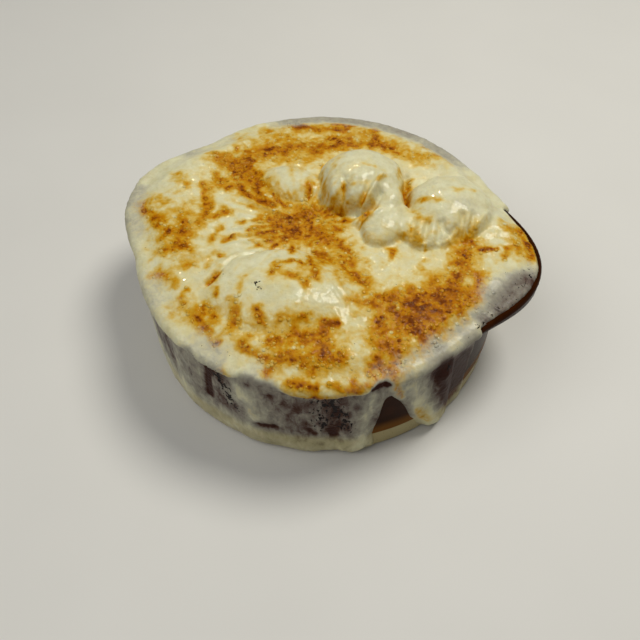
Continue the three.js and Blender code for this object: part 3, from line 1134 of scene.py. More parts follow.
BROWN = (
    # The band behind the tallest lump.
    Stroke(7.5, 0.8, (-24, 36), (-14, 37.5)),
    Stroke(5, 0.85, (-9, 41), (-4, 44.5)),
    Stroke(3.8, 0.8, (-4, 45.5), (5, 47), (14, 47)),
    Stroke(3.6, 0.72, (15, 46), (20, 44), (29, 42)),
    Stroke(6, 0.9, (-36, 25), (-31, 32)),
    Stroke(4, 0.75, (-46, 24), (-39, 23)),
    Stroke(4.5, 0.85, (-36, 20), (-31, 17)),
    Stroke(3, 1, (-30, 19), (-26.5, 13)),
    Stroke(3, 0.9, (-25, 10.5), (-20, 8.5), (-16, 8.5)),
    Stroke(2.5, 0.4, (-34, 25)),
    Stroke(3.2, 0.45, (-24, 35)),
    Stroke(3.5, 0.3, (9, 47)),
    Stroke(1.2, 0.8, (-40.5, 31)),
    Stroke(3, 0.7, (-26, 44)),
    Stroke(2.3, 0.9, (-33, 45.5)),
    Stroke(1.8, 0.5, (-41, 22)),
    Stroke(0.9, 0.5, (-9, 25), (-6, 20)),
    Stroke(2.5, 0.5, (-7, 29)),
    # The far rim.
    Stroke(3.2, 1.35, (-23.5, 53)),
    Stroke(2, 0.9, (-21, 51), (-15, 51)),
    Stroke(2.2, 0.85, (-13, 51), (-4, 52.5)),
    Stroke(1.8, 1, (-8, 55), (-1, 55)),
    Stroke(2.4, 0.75, (8, 51), (7.5, 57)),
    Stroke(3, 0.5, (3, 53)),
    Stroke(2.4, 0.85, (29, 51)),
    Stroke(2.2, 0.5, (33, 45)),
    Stroke(2.5, 0.45, (-42, 40)),
    Stroke(3, 0.35, (36, 43)),
    # The left field.
    Stroke(2.5, 0.7, (-44, 17), (-41, 12)),
    Stroke(1.8, 1, (-37.5, 10)),
    Stroke(2, 0.8, (-33, 14), (-31.5, 9.5)),
    Stroke(2.4, 0.6, (-38, 17), (-36, 13)),
    Stroke(2.2, 0.85, (-46, 9), (-43, 3), (-41, -2), (-41.5, -9)),
    Stroke(2.2, 0.8, (-35, -1.5)),
    Stroke(2, 0.75, (-37.5, -5)),
    Stroke(1.5, 0.7, (-34, -9), (-35.5, -15)),
    Stroke(1.3, 0.65, (-29, -11), (-31, -15)),
    Stroke(1.3, 0.8, (-27.5, -4.5)),
    Stroke(2, 0.55, (-28, 4)),
    Stroke(1, 0.7, (-25, -7.5)),
    Stroke(1.6, 0.75, (-31.5, 8.7), (-27, 7.8), (-21, 5.6)),
    Stroke(2.6, 0.6, (-57, 11), (-53, 8)),
    Stroke(1.5, 0.45, (-54, 3)),
    Stroke(2.2, 0.6, (-62, -1), (-56, -1)),
    Stroke(1.8, 0.5, (-48, 0)),
    Stroke(1.5, 0.55, (-53, -5.5)),
    Stroke(2.2, 1, (-66, -3), (-61, -7), (-57.5, -9.8)),
    Stroke(2, 0.4, (-58, -9.5)),
    Stroke(3.2, 0.9, (-55.5, -12), (-51, -15)),
    Stroke(2.8, 0.95, (-48.5, -7), (-46.5, -12), (-46, -17.5)),
    Stroke(1.5, 0.4, (-46.5, -16)),
    Stroke(2.8, 0.95, (-44, -20), (-49.5, -23)),
    Stroke(2.5, 0.6, (-43, -13)),
    Stroke(2, 0.6, (-41, -21)),
    Stroke(2, 0.6, (-51.5, -19)),
    Stroke(1.6, 0.6, (-32, -20), (-27.5, -22)),
    Stroke(1.2, 0.55, (-34, -23), (-33, -26)),
    Stroke(2.4, 0.65, (-41, -27), (-38, -26)),
    Stroke(2.4, 0.95, (-48.5, -32), (-44.5, -33)),
    Stroke(1.4, 0.7, (-36, -36), (-37, -39)),
    Stroke(2, 0.4, (-41, -36)),
    Stroke(1.3, 1.3, (-28.5, -29.5), (-30, -33)),
    Stroke(1, 0.8, (-27, -36), (-26, -38.5)),
    # The hollow.
    Stroke(6.5, 1.05, (-12.5, -4), (-8, 0), (-3.5, -2)),
    Stroke(4.2, 0.95, (-10, 4), (-6.5, 7.5)),
    Stroke(2.8, 0.95, (-2, 7.8), (5, 5.4)),
    Stroke(2.4, 0.7, (5, 1.5)),
    Stroke(1.7, 0.9, (-17.5, 2.5)),
    Stroke(2.4, 0.8, (-21.5, 1), (-17, -2)),
    Stroke(3.2, 0.85, (-20, -7), (-13, -8)),
    Stroke(1.8, 0.7, (-22.5, -6)),
    Stroke(3.8, 0.85, (2, -4), (6, -6)),
    Stroke(2.8, 0.85, (9, -8.5), (12, -12)),
    Stroke(2.2, 0.5, (-1, -9)),
    Stroke(1.1, 0.8, (-18, -10), (-14, -11)),
    Stroke(1.1, 0.8, (-22.5, -11.5), (-19, -12.5)),
    Stroke(1.3, 0.75, (-17, -14)),
    Stroke(1.2, 0.8, (-24.5, -2), (-22, -1)),
    Stroke(1.3, 0.9, (-8.5, -12), (-7, -16.5)),
    Stroke(2, 0.85, (-9.5, 17), (-9, 12)),
    Stroke(4.6, 0.85, (3, -14)),
    Stroke(1.4, 0.9, (-0.5, -17), (-0.5, -20.5)),
    Stroke(2.8, 0.8, (10.5, -15)),
    Stroke(2.8, 0.95, (14.5, -18.5), (19, -22)),
    Stroke(2.6, 0.65, (11, -22)),
    # On the front lump.
    Stroke(1.1, 0.85, (-11, -22.5), (-5, -21), (1, -21)),
    Stroke(1.5, 0.85, (2.5, -22), (3, -26.5)),
    Stroke(2, 0.9, (-10, -25), (-10.5, -28)),
    Stroke(2, 0.85, (-4, -28), (1, -29)),
    Stroke(3, 0.4, (-3, -25)),
    Stroke(1.5, 0.42, (-19, -31), (-19, -37)),
    Stroke(1.7, 0.7, (-20, -40), (-18, -43)),
    Stroke(1.5, 0.95, (-12, -41), (-9, -45)),
    Stroke(1.4, 0.9, (-4, -43)),
    # The front and its left end.
    Stroke(2.6, 0.9, (-28.5, -42.5), (-25, -45.5)),
    Stroke(2, 0.95, (-30.5, -47), (-26, -50)),
    Stroke(2, 0.5, (-33, -45)),
    Stroke(2.2, 0.55, (-36, -42), (-38.5, -45)),
    Stroke(1.8, 0.7, (-24, -51)),
    Stroke(1.5, 1.2, (-21, -54)),
    Stroke(3.4, 0.9, (-17, -47.5)),
    Stroke(2.4, 0.6, (-12, -50)),
    Stroke(1.6, 1.1, (-13, -53)),
    Stroke(1.4, 0.9, (-11.5, -54.5), (-4, -56.5)),
    Stroke(3.2, 0.9, (-5, -50)),
    Stroke(1.2, 0.4, (-4.5, -50)),
    Stroke(5.2, 0.9, (2, -47.5), (8, -48.5), (12, -50)),
    Stroke(2.4, 1.05, (13, -53), (17, -51.5)),
    Stroke(2.4, 1, (7.5, -55)),
    Stroke(2.6, 0.8, (0, -54.5), (10, -56)),
    Stroke(1.9, 0.75, (4.5, -39.5), (0, -42)),
    Stroke(1.8, 1.1, (10, -41), (13, -39.5)),
    Stroke(2.8, 0.75, (9, -44)),
    Stroke(1.4, 0.5, (10, -48)),
    Stroke(2.2, 1.15, (-3, -59.5)),
    Stroke(2, 0.7, (-0.5, -57)),
    Stroke(1.6, 1.1, (4, -62), (11, -62)),
    Stroke(1.4, 1, (15, -61), (18.5, -60)),
    Stroke(1.6, 1, (-18, -62)),
    Stroke(1.5, 0.75, (21.5, -55.5), (22.5, -58.5)),
    Stroke(1.4, 0.85, (20, -61), (24, -59.5)),
    Stroke(1.3, 0.6, (24, -59), (29, -55.5)),
    # The large patch at the right front, and its arm up to the right.
    Stroke(8, 1.15, (38, -28), (44, -24)),
    Stroke(6, 1, (33, -34), (40, -36)),
    Stroke(4.2, 0.9, (27, -28), (34, -25)),
    Stroke(2.8, 0.85, (17, -30), (24, -28.5)),
    Stroke(3.2, 0.85, (25, -36), (27, -44)),
    Stroke(4.2, 0.95, (31, -44), (33, -48)),
    Stroke(2.8, 0.9, (27, -50.5), (33, -52)),
    Stroke(2.8, 0.95, (40.5, -40)),
    Stroke(2, 0.3, (37, -30)),
    Stroke(4.2, 0.95, (46, -17), (48, -8), (47.5, -2), (49.5, 3.5)),
    Stroke(2, 0.35, (44.5, -16)),
    Stroke(2.8, 0.9, (53.5, -11), (55, -16)),
    Stroke(2, 0.8, (57.5, -17.5), (60, -21)),
    Stroke(3.2, 0.7, (50, -21), (54, -20)),
    Stroke(2.4, 0.55, (40, -16)),
    Stroke(2, 0.7, (56, -25), (60, -22)),
    Stroke(1.6, 0.8, (26, -54), (31, -55)),
    # The right handle.
    Stroke(0.9, 1.2, (53, 1), (58.5, 2.6)),
    Stroke(1.1, 0.9, (62, 4.5), (61, -1.5)),
    Stroke(2.8, 0.75, (61.5, 14), (64.5, 9), (65, 3)),
    Stroke(2.4, 1, (65.5, 15), (69, 9), (70.5, 3)),
    # Round the back lumps.
    Stroke(1.4, 0.95, (25, 29), (24.5, 22), (25.8, 15)),
    Stroke(1.1, 0.5, (21.5, 31), (21.5, 23.5)),
    Stroke(1.3, 0.5, (29.5, 14.5), (37, 14)),
    Stroke(1.3, 0.6, (28, 11), (30.5, 9)),
    Stroke(1.2, 0.6, (30, 6.8), (35, 7)),
    Stroke(1.2, 0.42, (41.5, 20.3), (47.5, 21.5)),
    Stroke(1.5, 0.3, (49.5, 30)),
    Stroke(1.6, 1, (25, -5), (25, -8.5)),
    Stroke(1.4, 0.6, (35, -8), (35.5, -11)),
    Stroke(2.2, 0.7, (29, 2), (33, -0.5)),
    Stroke(0.8, 0.9, (35.5, -2.5)),
    Stroke(1.8, 0.45, (26.5, 0.5)),
    # On the tallest lump, and between its fingers.
    Stroke(1.2, 0.35, (9, 23), (12, 23)),
    Stroke(0.8, 0.6, (-4, 17), (-2.8, 13)),
    Stroke(0.7, 0.6, (3.2, 15), (4.6, 12), (4.8, 8)),
    Stroke(0.8, 0.6, (11.8, 14.5), (11.4, 9.5)),
    Stroke(1.8, 0.85, (15, 9), (13, 5)),
    Stroke(0.7, 0.5, (17.5, 20), (14, 16)),
)

# Broad pale staining round the browned patches.
STAIN = (
    Stroke(15, 0.08, (-50, -12), (-38, 5), (-34, 25)),
    Stroke(13, 0.07, (-35, -42), (-10, -50), (8, -50)),
    Stroke(12, 0.08, (30, -44), (42, -26), (50, -4)),
    Stroke(12, 0.08, (-24, 42), (5, 50), (28, 44)),
    Stroke(14, 0.08, (-12, -3), (12, -14)),
)

# Where the top's cheese is so thin that the dark glaze greys it, as depth of greying.
THIN_TOP = (
    Stroke(4, 0.2, (43, 15), (47, 15)),
    Stroke(3.4, 0.6, (70, -7), (64, -19), (59, -27), (51, -39), (39, -51)),
    Stroke(4.5, 0.4, (64, -9), (58.5, -16)),
    Stroke(2.8, 0.3, (71.5, -1), (71, -5)),
    Stroke(2.5, 0.4, (34, -54), (22, -60)),
    Stroke(1.8, 0.3, (-30, -54), (-18, -59)),
    Stroke(2.6, 0.5, (-41, -49.5), (-57.5, -29), (-70, -6), (-71.5, 6)),
    Stroke(3.5, 0.4, (-60, 28), (-48, 42)),
    Stroke(2.4, 0.5, (-34, 53), (-14, 60.5), (8, 61.5), (27, 56), (45, 44)),
)

# On the wall, places are an angle in degrees and a height; a degree there is about a millimetre.
THICK_WALL = (
    Stroke(4.5, 0.32, (-101, 33), (-97, 20)),
    Stroke(2.4, 0.3, (-64, 36), (-65.5, 20), (-66.5, 6)),
    Stroke(3, 0.42, (-52, 35), (-47.5, 22), (-42, 5)),
    Stroke(1.8, 0.35, (-50.5, 23), (-47, 13), (-43.5, 4)),
    Stroke(1.6, 0.3, (-57.5, 39), (-55, 30)),
    Stroke(2.6, 0.3, (-56, 41), (-28, 41)),
    Stroke(4.5, 0.22, (-170, 5), (-64, 5)),
    Stroke(4, 0.18, (-122, 36), (-126, 12)),
    Stroke(6, 0.3, (-150, 30), (-140, 10)),
    Stroke(8, 0.35, (-170, 25)),
    Stroke(4.5, 0.2, (-150, 13), (-100, 12)),
)

BARE_WALL = (
    # The bare streak, and the darker patches to its right and in the middle.
    Stroke(1, 0.85, (-111.3, 37), (-112.3, 28), (-113.2, 19)),
    Stroke(4.5, 0.1, (-107.5, 37), (-107, 20)),
    Stroke(2.4, 0.14, (-109, 36), (-106, 33)),
    Stroke(7, 0.1, (-82, 33), (-76, 20)),
    Stroke(3.2, 0.15, (-74, 36), (-71.5, 18)),
    # Small bare spots along the band's upper edge and under the rim.
    Stroke(1.3, 0.6, (-96, 15), (-92, 15.6)),
    Stroke(1.2, 0.35, (-81.5, 17), (-80, 14.5)),
    Stroke(1.4, 0.45, (-75.3, 17), (-74, 13.5)),
    Stroke(1.3, 0.3, (-99, 37.5)),
    Stroke(1.3, 0.25, (-92.5, 34.5)),
    # A thin groove under the rim's lip above the parting, bared to the dark glaze as a painted shadow of the
    # lip.
    Stroke(0.5, 1, (-64.2, 39.4), (-62.4, 40.1), (-60.6, 40.1), (-59.4, 39.4)),
    # The nearly bare wall on the right.
    Stroke(3.6, 0.9, (-41.5, 36), (-38.5, 24), (-34.5, 11)),
    Stroke(3.4, 0.5, (-33.5, 33), (-29.5, 16)),
    # Faint streaks on the left.
    Stroke(1.6, 0.15, (-129, 13), (-131, 34)),
    Stroke(1.6, 0.15, (-137, 16), (-139, 36)),
    # Thin places low down.
    Stroke(2.4, 0.16, (-99, 6), (-92, 4)),
    Stroke(2, 0.12, (-112, 7), (-107, 10)),
    Stroke(2, 0.14, (-86, 9), (-78, 7)),
)

# Where the rim's thick cheese ends higher up (positive) or lower down, by angle alone.
RIM_RISES = (
    Stroke(4, 2.6, (-99, 0), (-91, 0)),
    Stroke(5, 5.5, (-52, 0), (-26, 0)),
    # Raises the rim's thick cheese over the painted shadow line under the lip, above the parting.
    Stroke(2.4, 1.5, (-64, 0), (-60.5, 0)),
    Stroke(3, 1, (-118, 0)),
)

BROWN_WALL = (
    Stroke(2.6, 0.4, (-49.5, 17), (-46, 9)),
    Stroke(2, 0.95, (-109.5, 40.5), (-103.5, 40)),
    Stroke(2.4, 1.1, (-90, 40), (-80, 39.4)),
    Stroke(2, 0.95, (-78, 40), (-71, 39.6)),
    Stroke(1.5, 0.75, (-58, 40), (-55.5, 31)),
    Stroke(1.6, 0.35, (-93, 34), (-98, 22)),
    Stroke(1.4, 0.7, (-99.5, 37)),
    Stroke(1.4, 0.6, (-92.5, 35.5)),
)

# Where the film is pitted, as the share of its small holes that are open.
PITTED_WALL = (
    Stroke(3, 1, (-108.5, 37), (-106.5, 30), (-105, 21)),
    Stroke(4.5, 0.85, (-79.5, 36), (-77, 20)),
    Stroke(2.6, 0.95, (-75, 36), (-71.5, 26), (-70.5, 18)),
    Stroke(3, 0.3, (-120, 36), (-118, 24)),
    Stroke(5, 0.6, (-40, 36), (-30, 30)),
    Stroke(5, 0.3, (-150, 36), (-160, 34)),
)

PITTED_TOP = (
    Stroke(3.4, 0.6, (70, -4), (66, -15), (58, -27)),
    Stroke(2.5, 0.5, (57, -30), (49, -42)),
    Stroke(1.5, 0.9, (-14, -33), (-12.5, -36)),
    Stroke(3, 0.3, (-24, -57), (-10, -61)),
)


@dataclass
class Parting:
    """The one place at the front where the skin parts over the bare wall, with rounded corners."""

    angle: float = -53.0
    left: float = -8.4
    bulge: Point = (-11.8, 10.0)
    neck: Point = (-8.5, 20.0)
    shoulder: Point = (-7.6, 28.0)
    peak: Point = (-5.8, 31.8)
    hip: Point = (-1.4, 25.5)
    waist: Point = (1.0, 18.5)
    pull: Point = (3.4, 9.0)
    right: float = 9.8
    below: float = -6.0
    radius: float = 63.4
    curve_points: int = 8

    def outline(self) -> Values:
        """Lists the parting's edge, as distances round the wall and heights."""
        points = [(self.left, self.below), (self.right, self.below)]
        points += self.curve((self.right, 0.0), self.pull, self.waist)
        points += self.curve(self.waist, self.hip, self.peak)
        points += self.curve(self.peak, (self.shoulder[0], self.peak[1]), self.shoulder)
        points.append(self.neck)
        points += self.curve(self.neck, self.bulge, (self.left, 0.0))
        return np.array(points)

    def curve(self, start: Point, pull: Point, end: Point) -> list[Point]:
        """Bends a line from start to end towards a third point."""
        points = []
        for share in np.linspace(0.0, 1.0, self.curve_points):
            ends = [(1 - share) ** 2 * start[k] + share ** 2 * end[k] for k in (0, 1)]
            points.append(tuple(ends[k] + 2 * share * (1 - share) * pull[k] for k in (0, 1)))
        return points

    def distance(self, degrees: Values, height: Values) -> Values:
        """Gives the distance from the parting's edge, which is below zero inside the parting."""
        x = np.radians(angle_between(degrees, self.angle)) * self.radius
        edge = self.outline()
        nearest = np.full(len(x), np.inf)
        inside = np.zeros(len(x), dtype=bool)
        for start, end in zip(edge, np.roll(edge, -1, axis=0)):
            nearest = np.minimum(nearest, to_segment(x, height, start, end))
            if end[1] != start[1]:
                between = (start[1] > height) != (end[1] > height)
                share = (height - start[1]) / (end[1] - start[1])
                inside ^= between & (x < lerp(start[0], end[0], share))
        return np.where(inside, -nearest, nearest)


@dataclass
class MeltedCheese:
    """The cheese and what it hides, as one body: its top, its lumps and the skin down the wall."""

    crock: Crock
    path: WallPath
    # The sheet that is laid over the crock, and how its cut edge is drawn smooth.
    spacing: float = 0.48
    sheet_radius: float = 88.0
    cut_passes: int = 4
    cut_probe: float = 0.05
    least_slope: float = 0.05
    # The hem: down to the table at the front, and higher in waves at the back.
    hem_front: float = 1.0
    hem_back: float = 22.0
    hem_front_from: float = -172.0
    hem_front_to: float = -28.0
    hem_fade: float = 14.0
    front_waves: tuple[Wave, ...] = (Wave(0.4, 23), Wave(0.3, 41, 1.0))
    back_waves: tuple[Wave, ...] = (Wave(3.2, 5, 0.6), Wave(2.4, 9, 2.0), Wave(1.0, 17))
    waver: Ripple = Ripple(7.0, 0.8)
    parting_waver: float = 0.3
    tongue_neck: float = 0.55
    # The right handle's bare edge: how far down its outside the cheese ends, in front and behind.
    bare_lug_from: float = -27.0
    bare_lug_to: float = 23.0
    bare_lug_front: float = 1.6
    bare_lug_back: float = 0.2
    bare_lug_blend: Point = (-6.0, 8.0)
    bare_lug_waver: float = 0.6
    # The top: its level, how softly lumps join it, and the unevenness between them.
    level: float = 44.0
    edge_blend: float = 8.0
    lump_blend: float = 0.7
    top_drift: Ripple = Ripple(9.0, 1.4)
    fold_drift: float = 0.3
    hills: Ripple = Ripple(13.0, 0.45)
    dents: Ripple = Ripple(5.0, 0.22)
    wrinkles: Ripple = Ripple(2.4, 0.1)
    grain: Ripple = Ripple(1.5, 0.07)
    # How thick the skin is: more where it covers well, in the bead round the rim and in the tongues.
    skin: float = 1.4
    film: float = 0.35
    most_cover: float = 1.1
    rim_end: float = 38.2
    rim_wave: Ripple = Ripple(6.0, 0.9)
    rim_layer: float = 3.0
    rim_blur: float = 0.9
    rim_bead: float = 0.5
    bead_span: Point = (-0.7, 0.5)
    bead_top: float = 0.8
    tongue_fade: Point = (2.0, 10.0)
    unevenness: float = 0.16
    long_waves: Ripple = Ripple(3.0, 0.6)
    short_waves: Ripple = Ripple(1.7, 0.6)
    wave_stretch: float = 0.7
    edge_round: float = 1.6
    edge_sink: float = 0.25
    tuck: float = 2.2
    least_tuck: float = 0.8
    # How well the skin on the wall covers the glaze.
    wall_film: float = 0.38
    clouds: Ripple = Ripple(6.0, 0.14)
    spots: Ripple = Ripple(2.6, 0.1)
    cloud_stretch: float = 0.5
    back_cover: float = 0.3
    back_span: Point = (90.0, 60.0)
    # Browning, the streaks of it round the hollow, the painted shade on the lumps' steep sides, the rise of
    # its crust, and the pits' upper edge.
    brown_share: float = 0.59
    halo_share: float = 0.17
    halo_spread: float = 2.1
    brown_drift: Ripple = Ripple(3.5, 0.9)
    brown_clouds: Ripple = Ripple(4.0, 0.12)
    brown_grain: Ripple = Ripple(1.8, 0.08)
    brown_fade: float = 4.0
    hollow: Point = (-8.0, 1.0)
    streak_eye: float = 0.001
    streak_radius: float = 18.0
    streak_length: float = 6.0
    streak: Ripple = Ripple(2.0, 0.3)
    streak_starts: Point = (6.0, 13.0)
    streak_ends: Point = (36.0, 24.0)
    # Painted shade: browning that is added on the lumps' steep sides warms their colour as their shade.
    painted_side_shade: float = 0.03
    shade_steep_span: Point = (0.85, 0.4)
    shade_lump_span: Point = (2.5, 4.5)
    crust_rise: float = 0.22
    crust_span: Point = (0.2, 0.75)
    crust_blend: float = 2.0
    crust_humps: Ripple = Ripple(2.1, 1.0)
    crust_grain: Ripple = Ripple(1.4, 0.7)
    pit_blend: Point = (1.0, -2.0)
    # Two lattices of noise, so that what is added up doesn't move together, and the parting.
    broad: Noise = field(default_factory=lambda: Noise(11))
    fine: Noise = field(default_factory=lambda: Noise(12))
    parting: Parting = field(default_factory=Parting)

    def build(self) -> Piece:
        """Models the cheese and dresses it."""
        piece = self.lay_sheet()
        self.trim_sheet(piece)
        flat = points_of(piece)
        degrees, radius, share = self.unroll(flat[:, 0], flat[:, 1])
        points, cover = self.drape(degrees, radius, share)
        browning = self.browning(degrees, points)
        points[:, 2] += self.crust(points, browning)
        move_points(piece, points)
        # Painted shade: a warmer, yellower colour on the lumps' steep sides.
        browning += self.painted_side_shade * self.shaded_sides_of_lumps(piece, points)
        store(piece, "browning", browning)
        store(piece, "cover", cover)
        store(piece, "pitted", self.pitted(degrees, points))
        store(piece, "bubble", np.zeros(len(points)))
        self.close_inside(piece)
        piece.data.materials.append(GrilledCheese().material())
        smooth_shading(piece, 180.0)
        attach(piece, "root")
        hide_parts("cheese_topped_soup")
        return piece

    # The flat sheet.

    def lay_sheet(self) -> Piece:
        """Adds an even grid, wide enough to cover the top and to reach down the wall."""
        count = int(2 * self.sheet_radius / self.spacing)
        deselect_all()
        bpy.ops.mesh.primitive_grid_add(
            x_subdivisions=count, y_subdivisions=count, size=2 * self.sheet_radius * MM
        )
        piece = bpy.context.object
        piece.name = "melted_cheese"
        return piece

    def trim_sheet(self, piece: Piece) -> None:
        """Cuts the sheet along its hem and draws the cut edge smooth."""
        points = points_of(piece)
        select_points(piece, self.inside(points[:, 0], points[:, 1]) < 0.0)
        bpy.ops.mesh.delete(type="VERT")
        bpy.ops.object.mode_set(mode="OBJECT")
        drop_scraps(piece)
        edge = open_edge(piece)
        points = points_of(piece)
        for _ in range(self.cut_passes):
            points[edge, :2] -= self.beyond_cut(points[edge, 0], points[edge, 1])
        move_points(piece, points)

    def beyond_cut(self, x: Values, y: Values) -> Values:
        """Gives how far places lie off the cut and which way, at most the sheet's spacing."""
        here = self.inside(x, y)
        right = self.inside(x + self.cut_probe, y)
        back = self.inside(x, y + self.cut_probe)
        slope = np.stack([right - here, back - here], axis=1) / self.cut_probe
        steep = np.maximum(np.sum(slope * slope, axis=1), self.least_slope)
        step = slope * (here / steep)[:, None]
        return step * np.minimum(1.0, self.spacing / np.maximum(np.hypot(*step.T), TINY))[:, None]

    def unroll(self, x: Values, y: Values) -> tuple[Values, Values, Values]:
        """Finds where a place on the flat sheet lies on the crock.

        Args:
            x: places on the sheet from left to right.
            y: places on the sheet from front to back.

        Returns:
            The angle, the distance from the middle on the top, and the share of the way down the wall,
            which is below zero on the top.
        """
        degrees = np.degrees(np.arctan2(y, x))
        radius = np.hypot(x, y)
        start = self.roll_start(degrees)
        share = (radius - start) / (self.sheet_radius - start)
        return degrees, np.minimum(radius, start), share

    def roll_start(self, degrees: Values) -> Values:
        """Gives the radius at which the top begins to roll over the lip."""
        return self.crock.rim_radius + self.crock.reach(degrees) - self.crock.lip_round

    def hem(self, degrees: Values) -> Values:
        """Gives the height of the skin's lower edge."""
        middle = (self.hem_front_from + self.hem_front_to) / 2
        half = (self.hem_front_to - self.hem_front_from) / 2
        away = np.abs(angle_between(degrees, middle)) - half
        turn = np.radians(degrees)
        front = self.hem_front + sum(wave.at(turn) for wave in self.front_waves)
        back = self.hem_back + sum(wave.at(turn) for wave in self.back_waves)
        return lerp(front, back, smooth(0.0, self.hem_fade, away))

    def inside(self, x: Values, y: Values) -> Values:
        """Gives about how far a place on the sheet is inside its cut edge, in millimetres."""
        degrees, _, share = self.unroll(x, y)
        out, height, _, _ = self.path.at(degrees, share)
        along = share * self.path.length_at(degrees)
        waver = self.waver.at(self.broad, rows(np.radians(degrees) * out, along))
        kept = height - self.hem(degrees)
        for tongue in TONGUES:
            kept = np.maximum(kept, self.tongue_distance(tongue, degrees, height))
        kept = np.minimum(kept + waver, self.parting.distance(degrees, height) + self.parting_waver * waver)
        lug_middle = (self.bare_lug_from + self.bare_lug_to) / 2
        lug_half = (self.bare_lug_to - self.bare_lug_from) / 2
        beside = np.radians(np.abs(angle_between(degrees, lug_middle)) - lug_half) * out
        behind = smooth(*self.bare_lug_blend, angle_between(degrees, 0.0))
        above = lerp(self.bare_lug_front, self.bare_lug_back, behind) - along
        return np.minimum(kept, np.maximum(beside, above) + self.bare_lug_waver * waver)

    def tongue_distance(self, tongue: Tongue, degrees: Values, height: Values) -> Values:
        """Gives how far a place on the wall is inside a tongue."""
        across = np.abs(np.radians(angle_between(degrees, tongue.angle)) * self.crock.wall_radius)
        bulb = tongue.bottom + tongue.wide
        neck = lerp(1.0, self.tongue_neck, np.clip((height - bulb) / (self.crock.height - bulb), 0.0, 1.0))
        above = neck * tongue.wide - across
        below = tongue.wide - np.hypot(across, height - bulb)
        return np.where(height > bulb, above, below)

    # The shape.

    def drape(self, degrees: Values, radius: Values, share: Values) -> tuple[Values, Values]:
        """Lays the sheet over the food and down the wall.

        Args:
            degrees: the angle of each vertex.
            radius: its distance from the middle on the top.
            share: how far down the wall it is.

        Returns:
            The vertices' places, and how well the cheese covers what is behind it, from 0 to 1.
        """
        turn = np.radians(degrees)
        out, height, facing_out, facing_up = self.path.at(degrees, share)
        cover = self.wall_cover(degrees, height)
        thick = self.thickness(degrees, height, share, cover)
        out = out + facing_out * thick
        height = height + facing_up * thick
        x = radius * np.cos(turn)
        y = radius * np.sin(turn)
        rim = self.crock.height + thick
        inwards = smooth(0.0, self.edge_blend, self.roll_start(degrees) - radius)
        top = lerp(rim, self.top_height(x, y, degrees, radius), inwards)
        on_top = share < 0.0
        cover = np.where(on_top, lerp(cover, self.top_cover(x, y), inwards), cover)
        out = np.where(on_top, radius, out)
        height = np.where(on_top, top, height)
        return np.stack([out * np.cos(turn), out * np.sin(turn), height], axis=1), cover

    def top_height(self, x: Values, y: Values, degrees: Values, radius: Values) -> Values:
        """Gives the top's height inside the rim, with its lumps, folds and threads."""
        places = rows(x, y)
        drift_x = x + self.top_drift.at(self.broad, places)
        drift_y = y + self.top_drift.at(self.fine, places)
        ground = sum(swell.at(x, y) for swell in SWELLS)
        ground += sum(swell.at(degrees, radius) for swell in RIM_SWELLS)
        ground += self.hills.at(self.broad, places) + self.dents.at(self.fine, places)
        total = np.exp(ground / self.lump_blend)
        for lump in LUMPS:
            total += np.exp(lump.at(drift_x, drift_y) / self.lump_blend)
        height = self.level + self.lump_blend * np.log(total)
        height += painted(FOLDS, lerp(x, drift_x, self.fold_drift), lerp(y, drift_y, self.fold_drift))
        return height + self.wrinkles.at(self.fine, places) + self.grain.at(self.broad, places)

    def on_wall(self, degrees: Values, height: Length, layer: float = 0.0) -> Values:
        """Puts places on the unrolled wall into rows for the noise; layers have noise of their own."""
        return rows(np.radians(degrees) * self.crock.wall_radius, height, layer)

    def rim_edge(self, degrees: Values) -> Values:
        """Gives the height at which the thick cheese of the rim ends and the film on the wall begins."""
        wave = self.rim_wave.at(self.broad, self.on_wall(degrees, 0.0, self.rim_layer))
        return self.rim_end + wave + painted(RIM_RISES, degrees, np.zeros_like(degrees))

    def wall_cover(self, degrees: Values, height: Values) -> Values:
        """Gives how well the skin on the wall hides the glaze."""
        cover = np.full_like(height, self.wall_film)
        places = self.on_wall(degrees, height * self.cloud_stretch)
        cover += self.clouds.at(self.broad, places) + self.spots.at(self.fine, places)
        cover += painted(THICK_WALL, degrees, height)
        cover += self.back_cover * smooth(*self.back_span, np.abs(angle_between(degrees, 90.0)))
        turn = np.radians(degrees)
        rim = self.roll_start(degrees)
        on_rim = self.top_cover(rim * np.cos(turn), rim * np.sin(turn))
        edge = self.rim_edge(degrees)
        cover = lerp(on_rim, cover, smooth(edge + self.rim_blur, edge - self.rim_blur, height))
        return cover - painted(BARE_WALL, degrees, height)

    @staticmethod
    def top_cover(x: Values, y: Values) -> Values:
        """Gives how well the cheese on the top hides what is under it."""
        return 1.0 - painted(THIN_TOP, x, y)

    def thickness(self, degrees: Values, height: Values, share: Values, cover: Values) -> Values:
        """Gives how thick the skin is over the crock, rounded off towards its cut edge."""
        thick = lerp(self.film, self.skin, np.clip(cover, 0.0, self.most_cover))
        edge = self.rim_edge(degrees)
        bead = smooth(edge + self.bead_span[0], edge + self.bead_span[1], height)
        thick += self.rim_bead * bead * smooth(self.crock.height, edge + self.bead_top, height)
        fade_top, fade_end = (self.crock.height - down for down in self.tongue_fade)
        for tongue in TONGUES:
            within = np.clip(self.tongue_distance(tongue, degrees, height) / tongue.wide, 0.0, 1.0)
            hump = np.sqrt(within * (2.0 - within))
            thick += tongue.proud * hump * smooth(fade_top, fade_end, height)
        start = self.roll_start(degrees)
        sheet = start + np.maximum(share, 0.0) * (self.sheet_radius - start)
        turn = np.radians(degrees)
        margin = self.inside(sheet * np.cos(turn), sheet * np.sin(turn))
        rounding = np.clip(margin / self.edge_round, 0.0, 1.0)
        thick *= 1.0 + self.unevenness * self.uneven(degrees, height)
        return thick * np.sqrt(rounding * (2.0 - rounding)) - self.edge_sink * (1.0 - rounding)

    def uneven(self, degrees: Values, height: Values) -> Values:
        """Gives fine waves of the skin round the rim and down the wall, from about -1 to 1."""
        places = self.on_wall(degrees, height * self.wave_stretch)
        return self.long_waves.at(self.fine, places) + self.short_waves.at(self.broad, places)

